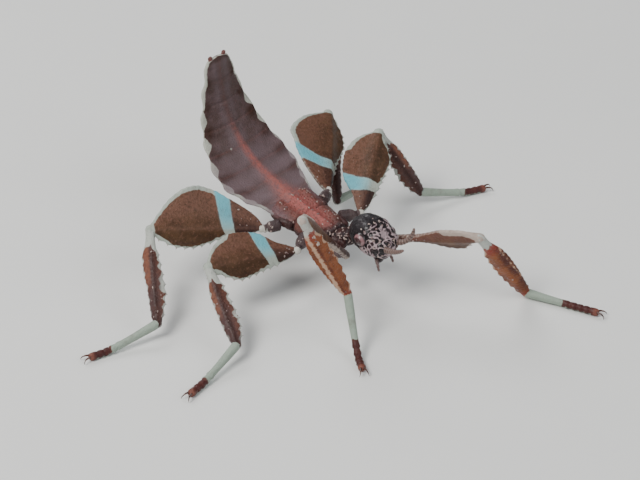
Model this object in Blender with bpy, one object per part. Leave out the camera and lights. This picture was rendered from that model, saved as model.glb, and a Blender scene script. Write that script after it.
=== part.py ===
"""A newly hatched leaf insect, standing still, at life size.

Units are metres and +Z is up. The head points to -Y and the insect's left is +X.
The floor is at height zero, and all six feet rest on it.
Every yaw angle turns from straight ahead towards the insect's left, and every
pitch angle lifts from the horizontal. Both are in degrees.
"""

import math
import random
from dataclasses import dataclass

import bmesh
import bpy
from mathutils import Matrix, Vector

MM = 0.001

# Frame
MODEL_SHIFT = Vector((1.25, 2.08, 0.0)) * MM
GAP = 0.3 * MM
SEED = 41

# Joints: past this bend the nearer length is cut along the flank of the farther one
SHARP_BEND = 112.0
JOINT_RADIUS = 0.27 * MM
KNEE_FLANK = 0.38 * MM
MERGE = 0.00001 * MM

# Blades of the legs: half thickness at the rim and across the core
EDGE = 0.25 * MM
CORE = 0.34 * MM

# Abdomen: a leaf-shaped plate that curls up over its length
ABDOMEN_ROOT = Vector((0.0, 2.84, 3.02)) * MM
ABDOMEN_LENGTH = 8.9 * MM
ABDOMEN_ROOT_SLOPE = 12.0
ABDOMEN_TIP_SLOPE = 84.0
ABDOMEN_OUTLINE = ((0.0, 1.55), (0.07, 1.75), (0.14, 2.03), (0.22, 2.23), (0.32, 2.26), (0.43, 2.07),
                   (0.59, 1.74), (0.72, 1.37), (0.88, 0.97), (0.96, 0.74), (1.0, 0.5))
ABDOMEN_CORE = 0.46 * MM
ABDOMEN_MARGIN = 0.25 * MM
ABDOMEN_SEGMENTS = 7
ABDOMEN_SCALLOP = 0.09 * MM
SCALLOP_STEPS = ((0.0, 0.0, 1.0), (0.18, 0.5, 0.0), (0.38, 0.9, 0.0), (0.58, 1.0, 0.0), (0.76, 0.8, 0.0),
                 (0.9, 0.35, 0.0))
MIDRIB_RAISE = 0.13 * MM
MIDRIB_HALF_WIDTH = 0.17 * MM
SEGMENT_RIDGE = 0.05 * MM

# Thorax: back and front ends, half widths and heights of the top and the underside
THORAX_KEEL = 0.12 * MM

# Head
HEAD_CENTRE = Vector((0.0, -3.35, 3.95)) * MM
HEAD_HALF = Vector((1.02, 1.28, 0.86)) * MM
HEAD_PITCH = -14.0
HEAD_YAW = 4.0
GRANULES = 26
GRANULE_RADIUS = 0.13 * MM

# Eyes stand on flat sockets at the sides of the head
EYE_RADIUS = 0.36 * MM
EYE_HEIGHT = 0.34 * MM
EYE_AHEAD = 0.0 * MM
EYE_ABOVE = 0.12 * MM
SOCKET_SIDE = 0.6 * MM

# Feelers: length, beads, and the yaws and pitches at the root and at the tip of each
FEELER_LENGTH = 1.25 * MM
FEELER_BEADS = 7
FEELER_ROOT_RADIUS = 0.25 * MM
FEELER_TIP_RADIUS = 0.14 * MM
FEELERS = {"left": (1.0, (8.0, 40.0), (14.0, 88.0)), "right": (-1.0, (-8.0, -4.0), (14.0, 44.0))}

# Mouthparts
MOUTH_HALF = Vector((0.42, 0.36, 0.4)) * MM


@dataclass(frozen=True)
class BodyPiece:
    """One ring of the thorax, as a lofted barrel between two stations along Y."""

    name: str
    front: float
    back: float
    front_half_width: float
    back_half_width: float
    front_top: float
    back_top: float
    front_depth: float
    back_depth: float
    bulge: float
    tubercles: int


@dataclass(frozen=True)
class Pair:
    """Sizes that the left and right leg of one pair share.

    Each lobe is given by a few pairs of share of the length and height in millimetres.
    """

    name: str
    hip: Vector
    coxa_root: Vector
    coxa_radius: float
    femur: float
    tibia: float
    tarsus: float
    femur_extensor: tuple
    femur_flexor: tuple
    tibia_extensor: tuple
    tibia_flexor: tuple
    teeth: int


@dataclass(frozen=True)
class Pose:
    """How one leg is held: yaw and pitch of each length, and where its blades face.

    The tibia of a tucked leg folds back under the flat of its femur.
    """

    side: str
    femur: tuple
    tibia: tuple
    tarsus_yaw: float
    femur_facing: tuple
    tibia_facing: tuple
    tucked: bool = False


THORAX = (
    BodyPiece("prothorax", -1.9 * MM, -0.95 * MM, 0.42 * MM, 0.52 * MM,
              3.45 * MM, 3.05 * MM, 0.9 * MM, 0.9 * MM, 0.06 * MM, 3),
    BodyPiece("mesothorax", -0.65 * MM, 0.98 * MM, 0.74 * MM, 1.15 * MM,
              3.02 * MM, 3.2 * MM, 1.0 * MM, 1.1 * MM, 0.16 * MM, 4),
    BodyPiece("metathorax", 1.28 * MM, 2.42 * MM, 1.16 * MM, 1.36 * MM,
              3.22 * MM, 3.4 * MM, 1.1 * MM, 0.95 * MM, 0.08 * MM, 3),
)

PAIRS = {
    "front": Pair(
        "front", Vector((1.02, -2.45, 2.8)) * MM, Vector((1.02, -1.62, 2.6)) * MM, 0.27 * MM,
        6.05 * MM, 5.35 * MM, 3.9 * MM,
        ((0.0, 0.0), (0.38, 0.02), (0.52, 0.3), (0.7, 0.58), (0.84, 0.56), (0.95, 0.28), (1.0, 0.0)),
        ((0.0, 0.0), (0.38, 0.0), (0.5, 0.3), (0.66, 0.74), (0.77, 0.86), (0.87, 0.48), (0.94, 0.1),
         (1.0, 0.0)),
        ((0.0, 0.0), (0.1, 0.12), (0.26, 0.4), (0.41, 0.48), (0.6, 0.43), (0.77, 0.32), (0.94, 0.18),
         (1.0, 0.1)),
        ((0.0, 0.0), (0.15, 0.12), (0.31, 0.28), (0.5, 0.36), (0.66, 0.33), (0.86, 0.2), (1.0, 0.08)),
        9),
    "middle": Pair(
        "middle", Vector((2.24, -0.22, 2.53)) * MM, Vector((1.48, 0.1, 2.62)) * MM, 0.4 * MM,
        4.82 * MM, 4.25 * MM, 3.83 * MM,
        ((0.0, 0.1), (0.08, 0.28), (0.2, 0.55), (0.3, 0.92), (0.38, 1.22), (0.5, 1.4), (0.66, 1.44),
         (0.8, 1.24), (0.92, 0.76), (1.0, 0.12)),
        ((0.0, 0.0), (0.08, 0.22), (0.22, 0.36), (0.4, 0.55), (0.55, 0.72), (0.67, 0.82), (0.78, 0.64),
         (0.88, 0.34), (1.0, 0.0)),
        ((0.0, 0.0), (0.2, 0.16), (0.38, 0.28), (0.58, 0.28), (0.8, 0.24), (1.0, 0.1)),
        ((0.0, 0.0), (0.12, 0.2), (0.3, 0.27), (0.5, 0.37), (0.7, 0.44), (0.86, 0.32), (1.0, 0.08)),
        8),
    "hind": Pair(
        "hind", Vector((2.29, 2.15, 2.66)) * MM, Vector((1.8, 1.9, 2.7)) * MM, 0.37 * MM,
        5.84 * MM, 4.86 * MM, 3.86 * MM,
        ((0.0, 0.1), (0.05, 0.55), (0.18, 1.12), (0.3, 1.52), (0.42, 1.98), (0.56, 2.2), (0.68, 2.06),
         (0.81, 1.56), (0.91, 0.88), (1.0, 0.12)),
        ((0.0, 0.0), (0.2, 0.02), (0.36, 0.3), (0.5, 0.6), (0.65, 0.82), (0.77, 0.77), (0.88, 0.5), (1.0, 0.0)),
        ((0.0, 0.0), (0.12, 0.2), (0.3, 0.42), (0.45, 0.4), (0.65, 0.26), (0.9, 0.18), (1.0, 0.1)),
        ((0.0, 0.0), (0.22, 0.05), (0.4, 0.24), (0.56, 0.36), (0.68, 0.42), (0.82, 0.3), (1.0, 0.06)),
        9),
}

POSES = {
    "front_right": Pose("right", (-76.7, 48.9), (60.8, -64.8), -31.0, (50.0, 28.0), (-30.0, 28.0)),
    "front_left": Pose("left", (17.8, 19.0), (76.0, -57.0), 22.0, (-62.5, -26.0), (-46.0, -2.0)),
    "middle_right": Pose("right", (-109.3, 5.3), (-21.0, -29.5), -81.0, (-44.0, 50.0), (-44.0, 50.0)),
    "middle_left": Pose("left", (122.6, 24.7), (43.0, -58.9), 67.0, (-44.0, 36.0), (-44.0, 36.0)),
    "hind_right": Pose("right", (-119.9, 9.4), (-37.7, -33.9), -105.7, (-44.0, 45.0), (-50.0, 45.0)),
    "hind_left": Pose("left", (135.6, 8.6), (-37.9, -33.4), 102.0, (-20.0, 30.0), (-20.0, 60.0), True),
}

COLOURS = {
    "abdomen": ((0.075, 0.04, 0.05), 0.55),
    "thorax": ((0.16, 0.04, 0.04), 0.5),
    "head": ((0.03, 0.02, 0.025), 0.35),
    "eye": ((0.22, 0.11, 0.12), 0.25),
    "femur": ((0.12, 0.045, 0.035), 0.55),
    "tibia": ((0.17, 0.06, 0.03), 0.5),
    "tarsus": ((0.5, 0.55, 0.5), 0.5),
    "coxa": ((0.2, 0.14, 0.14), 0.5),
    "feeler": ((0.05, 0.02, 0.02), 0.45),
}


def clear_scene():
    """Remove every object, so that the file starts empty."""
    for obj in list(bpy.data.objects):
        bpy.data.objects.remove(obj, do_unlink=True)


def direction(yaw, pitch):
    """Unit vector for a yaw and a pitch in degrees."""
    turn = math.radians(yaw)
    lift = math.radians(pitch)
    flat = math.cos(lift)
    return Vector((math.sin(turn) * flat, -math.cos(turn) * flat, math.sin(lift)))


def smooth(value):
    """Smooth step from 0 to 1."""
    value = min(max(value, 0.0), 1.0)
    return value * value * (3.0 - 2.0 * value)


def mix(low, high, share):
    """Straight blend between two values."""
    return low + (high - low) * share


def make_material(name, kind):
    """A plain shaded material of its own for one sub-part."""
    colour, roughness = COLOURS[kind]
    material = bpy.data.materials.new(name + "_material")
    material.use_nodes = True
    shader = material.node_tree.nodes["Principled BSDF"]
    shader.inputs["Base Color"].default_value = (*colour, 1.0)
    shader.inputs["Roughness"].default_value = roughness
    shader.inputs["Metallic"].default_value = 0.0
    return material


def add_object(name, vertices, faces, kind):
    """Put a closed mesh in the scene, its faces pointing out, in the shifted frame."""
    mesh = bpy.data.meshes.new(name)
    mesh.from_pydata([point + MODEL_SHIFT for point in vertices], [], faces)
    shell = bmesh.new()
    shell.from_mesh(mesh)
    bmesh.ops.recalc_face_normals(shell, faces=shell.faces)
    shell.to_mesh(mesh)
    shell.free()
    obj = bpy.data.objects.new(name, mesh)
    bpy.context.scene.collection.objects.link(obj)
    mesh.materials.append(make_material(name, kind))
    return obj


def loft_faces(rings, count):
    """Triangles of a lofted tube, cut alike on both faces of a blade, with strip caps."""
    half = count // 2
    faces = []
    for ring in range(rings - 1):
        near = ring * count
        far = near + count
        for j in range(count):
            k = (j + 1) % count
            if j < half:
                faces += [(near + j, near + k, far + k), (near + j, far + k, far + j)]
            else:
                faces += [(near + j, near + k, far + j), (near + k, far + k, far + j)]
    for start in (0, (rings - 1) * count):
        for j in range(half):
            mirror = (count - j) % count
            corners = [j, j + 1, (count - j - 1) % count, mirror]
            unique = list(dict.fromkeys(corners))
            faces.append(tuple(start + corner for corner in unique))
    return faces


def loft(name, rings, kind):
    """A closed lofted object through rings of the same number of points."""
    vertices = [point for ring in rings for point in ring]
    return add_object(name, vertices, loft_faces(len(rings), len(rings[0])), kind)


def granule(name, centre, radius):
    """A small faceted grain, sunk in the surface it sits on."""
    shell = bmesh.new()
    bmesh.ops.create_icosphere(shell, subdivisions=1, radius=radius)
    mesh = bpy.data.meshes.new(name)
    bmesh.ops.translate(shell, verts=shell.verts, vec=centre + MODEL_SHIFT)
    shell.to_mesh(mesh)
    shell.free()
    obj = bpy.data.objects.new(name, mesh)
    return obj


def fuse(target, pieces):
    """Join small closed pieces to an object in one union, then drop what they leave behind."""
    group = bpy.data.collections.new(target.name + "_grains")
    bpy.context.scene.collection.children.link(group)
    for piece in pieces:
        group.objects.link(piece)
    union = target.modifiers.new("grains", "BOOLEAN")
    union.operation = "UNION"
    union.operand_type = "COLLECTION"
    union.collection = group
    union.solver = "EXACT"
    bpy.context.view_layer.update()
    settled = bpy.data.meshes.new_from_object(target.evaluated_get(bpy.context.evaluated_depsgraph_get()))
    target.modifiers.clear()
    target.data = settled
    keep_largest(target)
    for piece in pieces:
        bpy.data.objects.remove(piece, do_unlink=True)
    bpy.data.collections.remove(group)


def keep_largest(obj):
    """Keep only the largest closed surface of an object's mesh."""
    shell = bmesh.new()
    shell.from_mesh(obj.data)
    bmesh.ops.triangulate(shell, faces=shell.faces)
    unseen = set(shell.verts)
    islands = []
    while unseen:
        stack = [unseen.pop()]
        island = set(stack)
        while stack:
            for edge in stack.pop().link_edges:
                for vertex in edge.verts:
                    if vertex in unseen:
                        unseen.discard(vertex)
                        island.add(vertex)
                        stack.append(vertex)
        islands.append(island)
    largest = max(islands, key=len)
    scraps = [vertex for vertex in shell.verts if vertex not in largest]
    bmesh.ops.delete(shell, geom=scraps, context="VERTS")
    shell.to_mesh(obj.data)
    shell.free()


def blade_ring(centre, axis, side, up, down, core):
    """Ten points of a flat section: a round core with a thin blade to each side."""
    across = axis.cross(side).normalized()
    points = []
    shoulders = []
    for reach in (up, down):
        spare = min(max((reach - core) / core, 0.0), 1.0)
        shoulders.append((reach - min(EDGE, 0.3 * reach), mix(0.72 * core, EDGE, spare)))
    rib = 0.38 * min(core, up, down)
    half = [(up, 0.0), shoulders[0], (rib, core), (-rib, core),
            (-shoulders[1][0], shoulders[1][1]), (-down, 0.0)]
    for height, width in half:
        points.append(centre + side * height + across * width)
    for height, width in half[-2:0:-1]:
        points.append(centre + side * height - across * width)
    return points


def slope_at(knots, spot):
    """Slope of a knotted curve at a knot: the harmonic mean of its two sides, or zero at a turn."""
    sides = []
    for first, second in ((spot - 1, spot), (spot, spot + 1)):
        if first >= 0 and second < len(knots):
            sides.append((knots[second][1] - knots[first][1]) / (knots[second][0] - knots[first][0]))
    if len(sides) == 1:
        return sides[0]
    if sides[0] * sides[1] <= 0.0:
        return 0.0
    return 2.0 * sides[0] * sides[1] / (sides[0] + sides[1])


def curve(knots, at):
    """Smooth curve through pairs of place and value, cubic between them and level past the ends."""
    at = min(max(at, knots[0][0]), knots[-1][0])
    spot = max(index for index in range(len(knots) - 1) if knots[index][0] <= at)
    (left, low), (right, high) = knots[spot], knots[spot + 1]
    width = right - left
    share = (at - left) / width
    lean_in = share * (1.0 - share) ** 2 * width * slope_at(knots, spot)
    lean_out = share * share * (1.0 - share) * width * slope_at(knots, spot + 1)
    return mix(low, high, smooth(share)) + lean_in - lean_out


def tooth_stations(teeth, first, last, past):
    """Places along a segment and a little past its ends: each tooth rises slowly and drops at once."""
    stations = [(-past, 0.0), (0.0, 0.0), (0.3 * first, 0.0), (0.65 * first, 0.0)]
    pitch = (last - first) / teeth
    for tooth in range(teeth):
        stations.append((first + tooth * pitch, 0.0))
        stations.append((first + (tooth + 0.72) * pitch, 1.0))
    stations += [(last, 0.0), (1.0, 0.0), (1.0 + past, 0.0)]
    return stations


def side_of(axis, facing, towards):
    """Direction of the extensor edge: in the blade's plane, on the given side."""
    face = direction(*facing)
    side = axis.cross(face).normalized()
    if side.dot(towards) < 0.0:
        side = -side
    return side


def leg_points(pair, pose):
    """Hip, knee, ankle and the unit directions of femur and tibia."""
    hip = pair.hip.copy()
    if pose.side == "right":
        hip.x = -hip.x
    thigh = direction(*pose.femur)
    shin = direction(*pose.tibia)
    knee = hip + thigh * pair.femur
    ankle = knee + shin * pair.tibia
    return hip, knee, ankle, thigh, shin


def joint_planes(joint, near, far, flank=JOINT_RADIUS):
    """Planes that end one length and start the next, each as a point and the way cut off.

    A joint that bends a little is mitred. A sharply bent one ends the nearer length
    along the flank of the farther one.
    """
    if math.degrees(near.angle(far)) < SHARP_BEND:
        normal = (near + far).normalized()
        return (joint - normal * 0.5 * GAP, normal), (joint + normal * 0.5 * GAP, -normal)
    normal = (near - far * near.dot(far)).normalized()
    return (joint - normal * (flank + GAP), normal), (joint - far * JOINT_RADIUS, -far)


def knee_planes(pair, pose):
    """Planes at the knee. A tucked tibia starts along the flat of the femur that lies over it."""
    _, knee, _, thigh, shin = leg_points(pair, pose)
    if not pose.tucked:
        return joint_planes(knee, thigh, shin, KNEE_FLANK)
    facing = direction(*pose.femur_facing)
    under = (facing - thigh * facing.dot(thigh)).normalized()
    if under.dot(shin) < 0.0:
        under = -under
    return (knee + thigh * JOINT_RADIUS, thigh), (knee + under * (CORE + GAP), -under)


def cut(obj, plane):
    """Cut off what lies past a plane, and close the cut with a flat face."""
    point, normal = plane
    shell = bmesh.new()
    shell.from_mesh(obj.data)
    geometry = shell.verts[:] + shell.edges[:] + shell.faces[:]
    made = bmesh.ops.bisect_plane(shell, geom=geometry, dist=MERGE, plane_co=point + MODEL_SHIFT,
                                  plane_no=normal, clear_outer=True)
    rim = [item for item in made["geom_cut"] if isinstance(item, bmesh.types.BMEdge)]
    bmesh.ops.holes_fill(shell, edges=rim)
    bmesh.ops.recalc_face_normals(shell, faces=shell.faces)
    shell.to_mesh(obj.data)
    shell.free()


def make_coxa(name, pair, pose):
    """Coxa and trochanter: a stout cone from the body's side to the hip."""
    hip, _, _, thigh, _ = leg_points(pair, pose)
    root = pair.coxa_root.copy()
    if pose.side == "right":
        root.x = -root.x
    axis = (hip - root).normalized()
    side = axis.cross(Vector((0.0, 1.0, 0.0))).normalized()
    other = axis.cross(side)
    length = (hip - root).length
    rings = []
    for share in (0.0, 0.35, 0.6, 1.25):
        radius = mix(pair.coxa_radius, 0.28 * MM, smooth(share * 1.3))
        centre = root + axis * length * share
        ring = []
        for step in range(10):
            angle = 2.0 * math.pi * step / 10
            ring.append(centre + side * radius * math.cos(angle) + other * radius * math.sin(angle))
        rings.append(ring)
    obj = loft(name, rings, "coxa")
    cut(obj, joint_planes(hip, axis, thigh)[0])
    return obj


def coxa_axis(pair, pose):
    """Direction from the coxa's root to the hip."""
    axis = pair.hip - pair.coxa_root
    if pose.side == "right":
        axis.x = -axis.x
    return axis.normalized()


def make_femur(name, pair, pose):
    """Femur: a stalk and core with a broad extensor lobe and a toothed flexor lobe."""
    hip, knee, _, thigh, shin = leg_points(pair, pose)
    side = side_of(thigh, pose.femur_facing, -(shin - thigh * shin.dot(thigh)))
    rings = []
    for share, tooth in tooth_stations(pair.teeth, 0.2, 0.94, JOINT_RADIUS / pair.femur):
        core = mix(0.27 * MM, CORE, smooth(share * 2.0))
        if share > 0.9:
            core = 0.29 * MM
        up = math.hypot(core, curve(pair.femur_extensor, share) * MM)
        down = math.hypot(core, curve(pair.femur_flexor, share) * MM) + 0.11 * MM * tooth
        rings.append(blade_ring(hip + thigh * pair.femur * share, thigh, side, up, down, core))
    obj = loft(name, rings, "femur")
    cut(obj, joint_planes(hip, coxa_axis(pair, pose), thigh)[1])
    cut(obj, knee_planes(pair, pose)[0])
    return obj


def make_tibia(name, pair, pose):
    """Tibia: a slim base that widens into two low lobes with teeth."""
    _, knee, ankle, thigh, shin = leg_points(pair, pose)
    side = side_of(shin, pose.tibia_facing, thigh - shin * thigh.dot(shin))
    rings = []
    for share, tooth in tooth_stations(7, 0.2, 0.94, JOINT_RADIUS / pair.tibia):
        core = mix(0.26 * MM, 0.3 * MM, smooth(share * 3.0))
        up = math.hypot(core, curve(pair.tibia_extensor, share) * MM) + 0.04 * MM * tooth
        down = math.hypot(core, curve(pair.tibia_flexor, share) * MM) + 0.08 * MM * tooth
        rings.append(blade_ring(knee + shin * pair.tibia * share, shin, side, up, down, core))
    obj = loft(name, rings, "tibia")
    cut(obj, knee_planes(pair, pose)[1])
    cut(obj, joint_planes(ankle, shin, tarsus_heading(pair, pose, 0.0))[0])
    return obj


TOE_SECTION = ((0.5, 1.0), (-0.5, 1.0), (-1.0, 0.35), (-1.0, -0.5), (-0.62, -1.0),
               (0.62, -1.0), (1.0, -0.5), (1.0, 0.35))
FLAT_FROM = 0.76
TOE_HALF_HEIGHT = 0.2 * MM


def tarsus_size(share):
    """Half width and half height of the tarsus along its length."""
    half = mix(0.25 * MM, 0.2 * MM, smooth(share / 0.6))
    for joint in (0.62, 0.72, 0.82):
        half += 0.035 * MM * math.exp(-((share - joint) / 0.022) ** 2)
    pad = smooth((share - 0.86) / 0.1)
    return half + 0.05 * MM * pad, mix(half, TOE_HALF_HEIGHT, smooth(share / FLAT_FROM))


def tarsus_middle(pair, pose, share):
    """Middle line of the tarsus: it slopes down from the ankle and levels off at the floor."""
    ankle = leg_points(pair, pose)[2]
    drop = ankle.z - TOE_HALF_HEIGHT
    reach = math.sqrt(pair.tarsus ** 2 - drop ** 2)
    lift = drop * max(1.0 - share / FLAT_FROM, 0.0) ** 1.25
    ahead = direction(pose.tarsus_yaw, 0.0)
    return Vector((ankle.x, ankle.y, TOE_HALF_HEIGHT + lift)) + ahead * reach * share


def tarsus_heading(pair, pose, share):
    """Direction of the tarsus along its middle line."""
    ahead = tarsus_middle(pair, pose, share + 0.01)
    return (ahead - tarsus_middle(pair, pose, share - 0.01)).normalized()


def make_tarsus(name, pair, pose):
    """Tarsus: it slopes down from the ankle and lies flat on the floor at its end."""
    _, _, ankle, _, shin = leg_points(pair, pose)
    rings = []
    for step in range(-1, 18):
        share = step / 17
        heading = tarsus_heading(pair, pose, share)
        across = heading.cross(Vector((0.0, 0.0, 1.0))).normalized()
        upward = across.cross(heading)
        half_width, half_height = tarsus_size(share)
        if share == 1.0:
            half_width *= 0.7
        centre = tarsus_middle(pair, pose, share)
        ring = [centre + across * half_width * x + upward * half_height * z for x, z in TOE_SECTION]
        for index in (4, 5):
            if share > FLAT_FROM:
                ring[index].z = 0.0
        rings.append(ring)
    obj = loft(name, rings, "tarsus")
    cut(obj, joint_planes(ankle, shin, tarsus_heading(pair, pose, 0.0))[1])
    return obj


def make_leg(key, pose):
    """The four nodes of one leg, from the body out."""
    pair = PAIRS[key.split("_")[0]]
    make_coxa(key + "_coxa", pair, pose)
    make_femur(key + "_femur", pair, pose)
    make_tibia(key + "_tibia", pair, pose)
    make_tarsus(key + "_tarsus", pair, pose)


def body_ring(y, half_width, top, depth, keel):
    """Sixteen points of a thorax section: flat-topped, with a keel along the middle."""
    middle = top - 0.5 * depth
    ring = []
    for step in range(16):
        angle = 2.0 * math.pi * step / 16
        x = math.copysign(abs(math.cos(angle)) ** 0.8, math.cos(angle)) * half_width
        z = math.copysign(abs(math.sin(angle)) ** 0.7, math.sin(angle)) * 0.5 * depth
        if step == 4:
            z += keel
        ring.append(Vector((x, y, middle + z)))
    return ring


def make_body_piece(piece):
    """One thorax ring with grains along its upper edges."""
    rings = []
    steps = 7
    for step in range(steps + 1):
        share = step / steps
        swell = math.sin(math.pi * share) ** 0.6
        shrink = 1.0 - 0.12 * (abs(2.0 * share - 1.0) ** 6)
        half_width = (mix(piece.front_half_width, piece.back_half_width, share) + piece.bulge * swell)
        top = mix(piece.front_top, piece.back_top, share)
        depth = mix(piece.front_depth, piece.back_depth, share)
        y = mix(piece.front, piece.back, share)
        rings.append(body_ring(y, half_width * shrink, top, depth * shrink, THORAX_KEEL))
    obj = loft(piece.name, rings, "thorax")
    grains = []
    for side in (-1.0, 1.0):
        for step in range(piece.tubercles):
            share = (step + 0.5) / piece.tubercles
            half_width = mix(piece.front_half_width, piece.back_half_width, share) + piece.bulge
            top = mix(piece.front_top, piece.back_top, share)
            place = Vector((side * half_width * 0.74, mix(piece.front, piece.back, share), top - 0.1 * MM))
            grains.append(granule("grain", place, 0.14 * MM))
    fuse(obj, grains)
    return obj


def abdomen_slope(share):
    """Slope of the midline, in degrees, from the root to the tip."""
    return mix(ABDOMEN_ROOT_SLOPE, ABDOMEN_TIP_SLOPE, smooth(share / 0.92))


def make_abdomen():
    """The abdomen: a curled plate with a midrib, segment ridges and a scalloped margin."""
    stations = []
    for segment in range(ABDOMEN_SEGMENTS):
        for inner, scallop, ridge in SCALLOP_STEPS:
            stations.append(((segment + inner) / ABDOMEN_SEGMENTS, scallop, ridge))
    stations.append((1.0, 0.0, 0.0))
    rings = []
    centre = ABDOMEN_ROOT.copy()
    last = 0.0
    for share, scallop, ridge in stations:
        slope = math.radians(abdomen_slope(0.5 * (share + last)))
        centre += Vector((0.0, math.cos(slope), math.sin(slope))) * (share - last) * ABDOMEN_LENGTH
        last = share
        here = math.radians(abdomen_slope(share))
        upward = Vector((0.0, -math.sin(here), math.cos(here)))
        tip = smooth((share - 0.93) / 0.07)
        half_width = curve(ABDOMEN_OUTLINE, share) * MM + ABDOMEN_SCALLOP * scallop * (1.0 - tip)
        core = mix(ABDOMEN_CORE, ABDOMEN_MARGIN, smooth(share * 1.05)) + SEGMENT_RIDGE * ridge
        rings.append(abdomen_ring(centre, upward, half_width, core, tip))
    return loft("abdomen", rings, "abdomen")


def abdomen_ring(centre, upward, half_width, core, tip):
    """Sixteen points across the plate: thin at the margins, with a midrib on top."""
    rib = MIDRIB_RAISE * (1.0 - tip)
    margin = ABDOMEN_MARGIN
    middle = 0.5 * (core + margin)
    top = [(half_width, 0.0), (half_width - 0.22 * MM, margin), (0.55 * half_width, middle),
           (MIDRIB_HALF_WIDTH, core), (0.0, core + rib)]
    top += [(-x, z) for x, z in top[-2::-1]]
    under = [(x, -z) for x, z in top[1:-1]][::-1]
    under[3] = (0.0, -core)
    return [centre + Vector((x, 0.0, 0.0)) + upward * z for x, z in top + under]


def head_frame():
    """Turn and tilt of the head about its own middle."""
    tilt = Matrix.Rotation(math.radians(-HEAD_PITCH), 3, "X")
    turn = Matrix.Rotation(math.radians(HEAD_YAW), 3, "Z")
    return turn @ tilt


def head_point(x, y, z):
    """A place given in the head's own frame, set in the model."""
    return HEAD_CENTRE + head_frame() @ Vector((x, y, z))


def make_head():
    """The head: a rounded box, flat at the eyes, covered with grains."""
    rings = []
    steps = 12
    count = 18
    for step in range(steps + 1):
        turn = math.pi * (step + 0.35) / (steps + 0.7)
        y = math.cos(turn) * HEAD_HALF.y
        size = math.sin(turn) ** 0.75
        ring = []
        for spot in range(count):
            angle = 2.0 * math.pi * spot / count
            x = math.copysign(abs(math.cos(angle)) ** 0.85, math.cos(angle)) * HEAD_HALF.x * size
            z = math.copysign(abs(math.sin(angle)) ** 0.9, math.sin(angle)) * HEAD_HALF.z * size
            if abs(y - EYE_AHEAD - 0.15 * MM) < 0.5 * MM:
                x = min(max(x, -SOCKET_SIDE - 0.02 * MM), SOCKET_SIDE + 0.02 * MM)
            ring.append(head_point(x, y, z))
        rings.append(ring)
    obj = loft("head", rings, "head")
    draw = random.Random(SEED)
    grains = []
    for number in range(GRANULES):
        height = 0.25 + 0.7 * draw.random()
        turn = 2.399963 * number
        ahead = math.cos(turn) * math.sqrt(1.0 - height * height)
        aside = math.sin(turn) * math.sqrt(1.0 - height * height)
        if abs(aside) > 0.55:
            continue
        x, y, z = aside * HEAD_HALF.x, ahead * HEAD_HALF.y, height * HEAD_HALF.z
        place = head_point(0.98 * x, 0.98 * y, 0.98 * z)
        grains.append(granule("grain", place, GRANULE_RADIUS * mix(0.8, 1.15, draw.random())))
    fuse(obj, grains)
    return obj


def make_eye(name, side):
    """A domed eye that stands off the flat socket at one side of the head."""
    rings = []
    base = SOCKET_SIDE + GAP
    for out, size in ((0.0, 0.86), (0.25, 1.0), (0.55, 0.9), (0.82, 0.62), (1.0, 0.24)):
        ring = []
        for step in range(14):
            angle = 2.0 * math.pi * step / 14
            y = EYE_AHEAD + 0.15 * MM + EYE_RADIUS * size * math.cos(angle)
            z = EYE_ABOVE + EYE_RADIUS * size * math.sin(angle) * 0.92
            ring.append(head_point(side * (base + EYE_HEIGHT * out), y, z))
        rings.append(ring)
    return loft(name, rings, "eye")


def make_feeler(name, side, yaws, pitches):
    """A short feeler of beads that tapers and bends: the left one is raised, the right one lowered."""
    root = head_point(side * 0.42 * MM, -HEAD_HALF.y * 0.98 - GAP, 0.24 * MM)
    rings = []
    per_bead = 3
    steps = FEELER_BEADS * per_bead
    centre = root
    for step in range(steps + 1):
        share = step / steps
        heading = direction(mix(*yaws, share), mix(*pitches, share))
        if step:
            centre = centre + heading * FEELER_LENGTH / steps
        sidewise = heading.cross(Vector((0.0, 0.0, 1.0))).normalized()
        upward = sidewise.cross(heading)
        swell = 1.0 if step % per_bead else 0.78
        radius = mix(FEELER_ROOT_RADIUS, FEELER_TIP_RADIUS, share) * swell
        ring = []
        for spot in range(8):
            angle = 2.0 * math.pi * spot / 8
            ring.append(centre + sidewise * radius * math.cos(angle) + upward * radius * math.sin(angle))
        rings.append(ring)
    return loft(name, rings, "feeler")


def make_mouthparts():
    """The mouthparts: a short wedge under the front of the head."""
    rings = []
    middle = Vector((0.0, -HEAD_HALF.y * 0.62, -HEAD_HALF.z * 0.86 - GAP - 0.42 * MM))
    for drop, size in ((0.36, 0.8), (0.2, 1.0), (-0.1, 0.92), (-0.34, 0.66), (-0.46, 0.4)):
        ring = []
        for step in range(12):
            angle = 2.0 * math.pi * step / 12
            x = middle.x + MOUTH_HALF.x * size * math.cos(angle)
            y = middle.y + MOUTH_HALF.y * size * math.sin(angle) - drop * 0.2 * MM
            ring.append(head_point(x, y, middle.z + drop * MM))
        rings.append(ring)
    return loft("mouthparts", rings, "head")


def main():
    """Build every sub-part of the insect."""
    clear_scene()
    make_abdomen()
    for piece in THORAX:
        make_body_piece(piece)
    make_head()
    for side, word in ((1.0, "left"), (-1.0, "right")):
        make_eye("eye_" + word, side)
        make_feeler("antenna_" + word, *FEELERS[word])
    make_mouthparts()
    for key, pose in POSES.items():
        make_leg(key, pose)


main()
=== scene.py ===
"""A newly hatched leaf insect, dressed for the render.

Lengths are millimetres in the insect's own frame: its head points to -Y, its left is
+X, the floor is at height zero and the middle line of the body is at X zero. The mesh
writer shifts that frame onto the loaded one and turns it into metres. A yaw angle
turns from straight ahead towards the insect's left and a pitch angle lifts from the
horizontal, both in degrees.
"""

import logging
import math
from dataclasses import dataclass
from enum import Enum

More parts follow.
